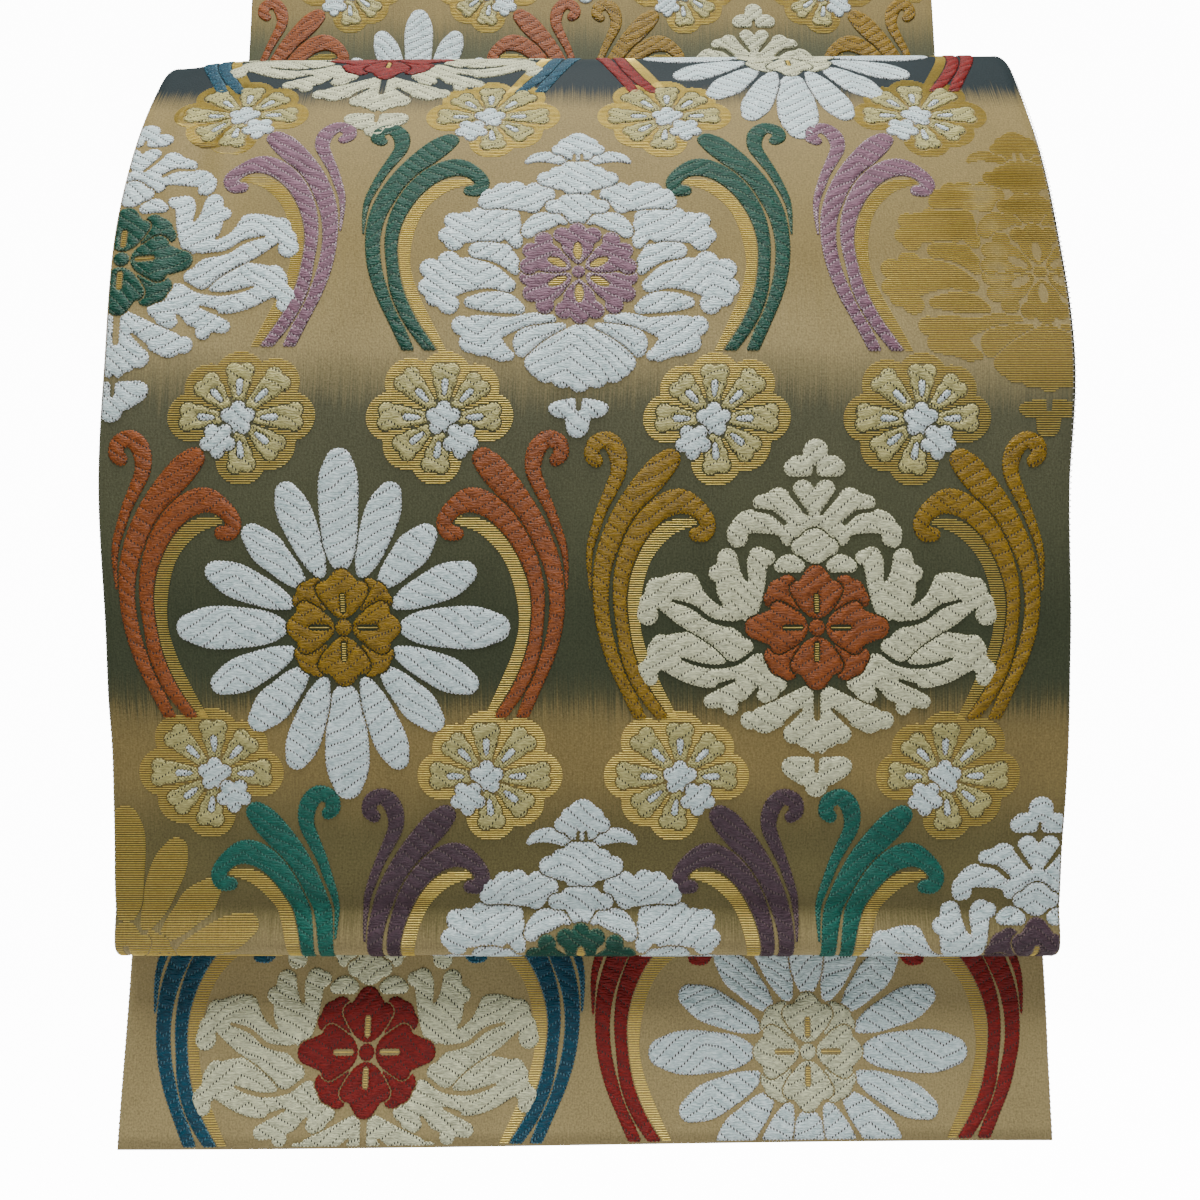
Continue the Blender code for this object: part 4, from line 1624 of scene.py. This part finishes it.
class OBI_OT_face_cloth(Operator):
    """Brocade face cloth along the whole route"""
    bl_idname = "obi.face_cloth"
    bl_label = "Face cloth"

    def execute(self, context):
        ground = context.scene.obi_ground
        grounds = {name: tuple(getattr(ground, name)) for _, name in GROUND_BANDS}
        piece = make_cloth("face_cloth", 0.0, -FACE_WALL, FACE_COLUMNS, FACE_ROWS, np.zeros_like,
                           make_face_material(grounds))
        ride_root(piece)
        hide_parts("face_tail", "face_drum", "face_riser", "face_back")
        return {"FINISHED"}


class OBI_OT_lining_cloth(Operator):
    """Plain lining cloth behind the face"""
    bl_idname = "obi.lining_cloth"
    bl_label = "Lining cloth"

    def execute(self, context):
        material = make_lining_material(tuple(context.scene.obi_ground.lining))
        piece = make_cloth("lining_cloth", -FACE_WALL - GAP, -CLOTH_WALL, LINING_COLUMNS,
                           LINING_ROWS, peep, material)
        ride_root(piece)
        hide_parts("lining_tail", "lining_drum", "lining_riser", "lining_back")
        return {"FINISHED"}


class OBI_OT_inner_layers(Operator):
    """Hidden layers, folded to and fro behind the drum"""
    bl_idname = "obi.inner_layers"
    bl_label = "Inner layers"

    def execute(self, context):
        half = 0.5 * LAYERS_WIDTH
        thickness = CLOTH_WALL - GAP
        across, rise = strip_ring(np.linspace(-half, half, LAYER_COLUMNS + 1), 0.5 * thickness,
                                  -0.5 * thickness)
        path = layers_path()
        vertices = []
        flat = []
        along = 0.0
        before = path[0]
        for y, z, degrees in path:
            turned = math.radians(degrees)
            along += math.hypot(y - before[0], z - before[1])
            before = (y, z)
            for over, lift in zip(across, rise):
                vertices.append((over, y - lift * math.sin(turned), z + lift * math.cos(turned)))
                flat.append((over, along % ROUTE_LENGTH))
        materials = [bpy.data.materials[name] for name in ("plain_lining", "brocade_ground")]
        piece = new_piece("inner_layers", vertices, loft_faces(len(path), LAYER_COLUMNS),
                          materials)
        finish_normals(piece)
        write_cloth_map(piece.data, flat)
        ring = len(across)
        face_side = set(range(LAYER_COLUMNS + 1))
        for polygon in piece.data.polygons:
            if all(vertex % ring in face_side for vertex in polygon.vertices):
                polygon.material_index = 1
        ride_root(piece)
        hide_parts("inner_folds")
        return {"FINISHED"}


class OBI_OT_silk_floats(Operator):
    """Raised silk floats of the flowers, blossoms and scrolls"""
    bl_idname = "obi.silk_floats"
    bl_label = "Silk floats"

    def execute(self, context):
        silks = context.scene.obi_silks
        for colour, rows in silk_patches().items():
            points, rises, fullness, triangles, start = [], [], [], [], 0
            for (patch_points, patch_fullness, patch_triangles), across, down, side in rows:
                over = across - side * patch_points[:, 0]
                points.append(np.column_stack((over, down - patch_points[:, 1])))
                fullness.append(np.clip(patch_fullness, 0.0, 1.0))
                rises.append(np.where(patch_fullness < 0.0, -0.5 * silks.rim_rise,
                                      np.where(patch_fullness > 0.5, silks.rise,
                                               silks.rim_rise)))
                laid = patch_triangles if side < 0 else patch_triangles[:, ::-1]
                triangles.append(laid + start)
                start += len(patch_points)
            flat = np.vstack(points)
            places = pattern_points(flat[:, 0], flat[:, 1], np.concatenate(rises))
            silk = tuple(getattr(silks, colour))
            # Painted shade for the holes and gaps, painted highlight for the stitches and beads.
            hole_shade = tinted(silk, HOLE_SHADE_TONE) if colour in DARK_SILK_LIT_STITCHES else PAINTED_HOLE_SHADE
            stitch = DARK_SILK_LIT_STITCHES.get(colour, tinted(silk, LIT_STITCH_TONE))
            material = make_silk_material(colour, silk, hole_shade, stitch)
            piece = new_piece("silk_" + colour, places.tolist(), np.vstack(triangles).tolist(),
                              [material])
            piece.data.shade_smooth()
            write_cloth_map(piece.data, np.column_stack((CM * flat[:, 0],
                                                         CM * (TAIL_DOWN - flat[:, 1]))))
            marks = piece.data.attributes.new("fullness", "FLOAT", "POINT")
            marks.data.foreach_set("value", np.concatenate(fullness).astype(np.float32))
            ride_root(piece)
        return {"FINISHED"}


class OBI_OT_gold_weft(Operator):
    """Gold weft lines of the crescents, clouds and shadow flowers"""
    bl_idname = "obi.gold_weft"
    bl_label = "Gold weft"

    def execute(self, context):
        threads = context.scene.obi_threads
        material = make_thread_material("gold_thread", tuple(threads.gold), 0.92, 0.34)
        rows = gold_rows(threads.gold_pitch)
        for name, in_front in (("gold_front", True), ("gold_back", False)):
            flat, edges = [], []
            for start, end, down in rows:
                if (down > GOLD_FRONT_ENDS) != in_front or abs(end - start) < SHORTEST_GOLD:
                    continue
                steps = max(1, round(abs(end - start) / GOLD_STEP))
                for step in range(steps + 1):
                    flat.append((start + (end - start) * step / steps, down))
                    if step:
                        edges.append((len(flat) - 2, len(flat) - 1))
            flat = np.array(flat)
            points = pattern_points(flat[:, 0], flat[:, 1], np.full(len(flat), GOLD_RISE))
            piece = make_threads(name, points.tolist(), edges, threads.gold_radius,
                                 threads.sides, material)
            ride_root(piece)
        return {"FINISHED"}


class OBI_OT_edge_stitches(Operator):
    """Overcast stitches that join face and lining along both edges"""
    bl_idname = "obi.edge_stitches"
    bl_label = "Edge stitches"

    def execute(self, context):
        threads = context.scene.obi_threads
        half = 0.5 * CLOTH_WIDTH
        count = int(ROUTE_LENGTH / threads.stitch_pitch)
        across, from_tail, rise, edges = [], [], [], []
        for side in (-1.0, 1.0):
            for stitch in range(1, count):
                place = stitch * threads.stitch_pitch
                shown = float(peep(np.array(place))) if side > 0.0 else 0.0
                for index, (inward, lift, slant) in enumerate(STITCH_PATH):
                    across.append(side * (half - inward + shown * min(1.0, 2.0 * slant)))
                    from_tail.append(place + STITCH_SLANT * slant * threads.stitch_pitch)
                    rise.append(lift)
                    if index:
                        edges.append((len(across) - 2, len(across) - 1))
        points = cloth_points(np.array(across), np.array(from_tail), np.array(rise))
        material = make_thread_material("stitch_thread", tuple(threads.stitch), 0.0, 0.6)
        piece = make_threads("edge_stitches", points.tolist(), edges, threads.stitch_radius,
                             threads.sides, material)
        ride_root(piece)
        return {"FINISHED"}


class OBI_OT_declare(Operator):
    """An empty step that changes nothing"""
    bl_idname = "obi.declare_cloths"
    bl_label = "Declare cloths"

    def execute(self, context):
        return {"FINISHED"}


class OBI_OT_stage(Operator):
    """Pale sweep, soft lights and the camera"""
    bl_idname = "obi.stage"
    bl_label = "Stage"

    def execute(self, context):
        stage = context.scene.obi_stage
        material = make_stage_material(tuple(stage.paper), stage.glow, stage.seen_glow)
        profile = [(SWEEP_FRONT, SWEEP_FLOOR), (SWEEP_BEND, SWEEP_FLOOR)]
        profile.extend((SWEEP_BEND + SWEEP_RADIUS * math.sin(math.radians(angle)),
                        SWEEP_FLOOR + SWEEP_RADIUS * (1.0 - math.cos(math.radians(angle))))
                       for angle in range(10, 91, 10))
        profile.append((SWEEP_BEND + SWEEP_RADIUS, SWEEP_TOP))
        vertices = [(x, y, z) for y, z in profile for x in (-SWEEP_HALF_WIDTH, SWEEP_HALF_WIDTH)]
        faces = [(2 * row, 2 * row + 1, 2 * row + 3, 2 * row + 2)
                 for row in range(len(profile) - 1)]
        sweep = new_piece("floor_sweep", vertices, faces, [material])
        sweep.data.shade_smooth()

        for name, place, aim, size, setting, share in LIGHTS:
            lamp = bpy.data.lights.new(name, "AREA")
            lamp.energy = share * getattr(stage, setting)
            lamp.size = size
            light = bpy.data.objects.new(name, lamp)
            light.location = place
            facing = (Vector(aim) - Vector(place)).to_track_quat("-Z", "Y")
            light.rotation_euler = facing.to_euler()
            light.visible_camera = False
            context.scene.collection.objects.link(light)

        world = bpy.data.worlds.new("soft_world")
        world.use_nodes = True
        sky = world.node_tree.nodes["Background"]
        tree = world.node_tree
        seen = add_node(tree, "ShaderNodeLightPath").outputs["Is Camera Ray"]
        strength = maths(tree, "MULTIPLY_ADD", seen, stage.seen_glow, stage.surround)
        feed(tree, sky, {"Color": (1.0, 1.0, 1.0, 1.0), "Strength": strength})
        context.scene.world = world

        camera = bpy.data.cameras.new("camera")
        camera.lens = stage.lens
        camera.sensor_width = SENSOR_WIDTH
        camera.clip_start = CLIP_START
        viewer = bpy.data.objects.new("camera", camera)
        viewer.location = stage.camera_place
        viewer.rotation_euler = (math.radians(90.0) + stage.camera_pitch, 0.0, 0.0)
        context.scene.collection.objects.link(viewer)
        context.scene.camera = viewer
        return {"FINISHED"}


OPERATORS = (
    OBI_OT_face_cloth,
    OBI_OT_lining_cloth,
    OBI_OT_inner_layers,
    OBI_OT_silk_floats,
    OBI_OT_gold_weft,
    OBI_OT_edge_stitches,
    OBI_OT_declare,
    OBI_OT_stage,
)


class OBI_PT_sidebar(Panel):
    """Lists the pieces of the sash"""
    bl_idname = "OBI_PT_sidebar"
    bl_label = "Obi sash"
    bl_space_type = "VIEW_3D"
    bl_region_type = "UI"
    bl_category = "Obi sash"

    def draw(self, context):
        for operator in OPERATORS:
            self.layout.operator(operator.bl_idname)
        for group_name in SETTINGS:
            group = getattr(context.scene, group_name)
            for name in group.__annotations__:
                self.layout.prop(group, name)


SETTINGS = {
    "obi_silks": OBI_PG_silks,
    "obi_ground": OBI_PG_ground,
    "obi_threads": OBI_PG_threads,
    "obi_stage": OBI_PG_stage,
}
CLASSES = (*SETTINGS.values(), *OPERATORS, OBI_PT_sidebar)


def register():
    for cls in CLASSES:
        bpy.utils.register_class(cls)
    for name, group in SETTINGS.items():
        setattr(bpy.types.Scene, name, PointerProperty(type=group))


def unregister():
    for name in SETTINGS:
        delattr(bpy.types.Scene, name)
    for cls in reversed(CLASSES):
        bpy.utils.unregister_class(cls)


def main():
    """Build everything."""
    register()
    for operator in OPERATORS:
        group, name = operator.bl_idname.split(".")
        getattr(getattr(bpy.ops, group), name)()


if __name__ == "__main__":
    main()
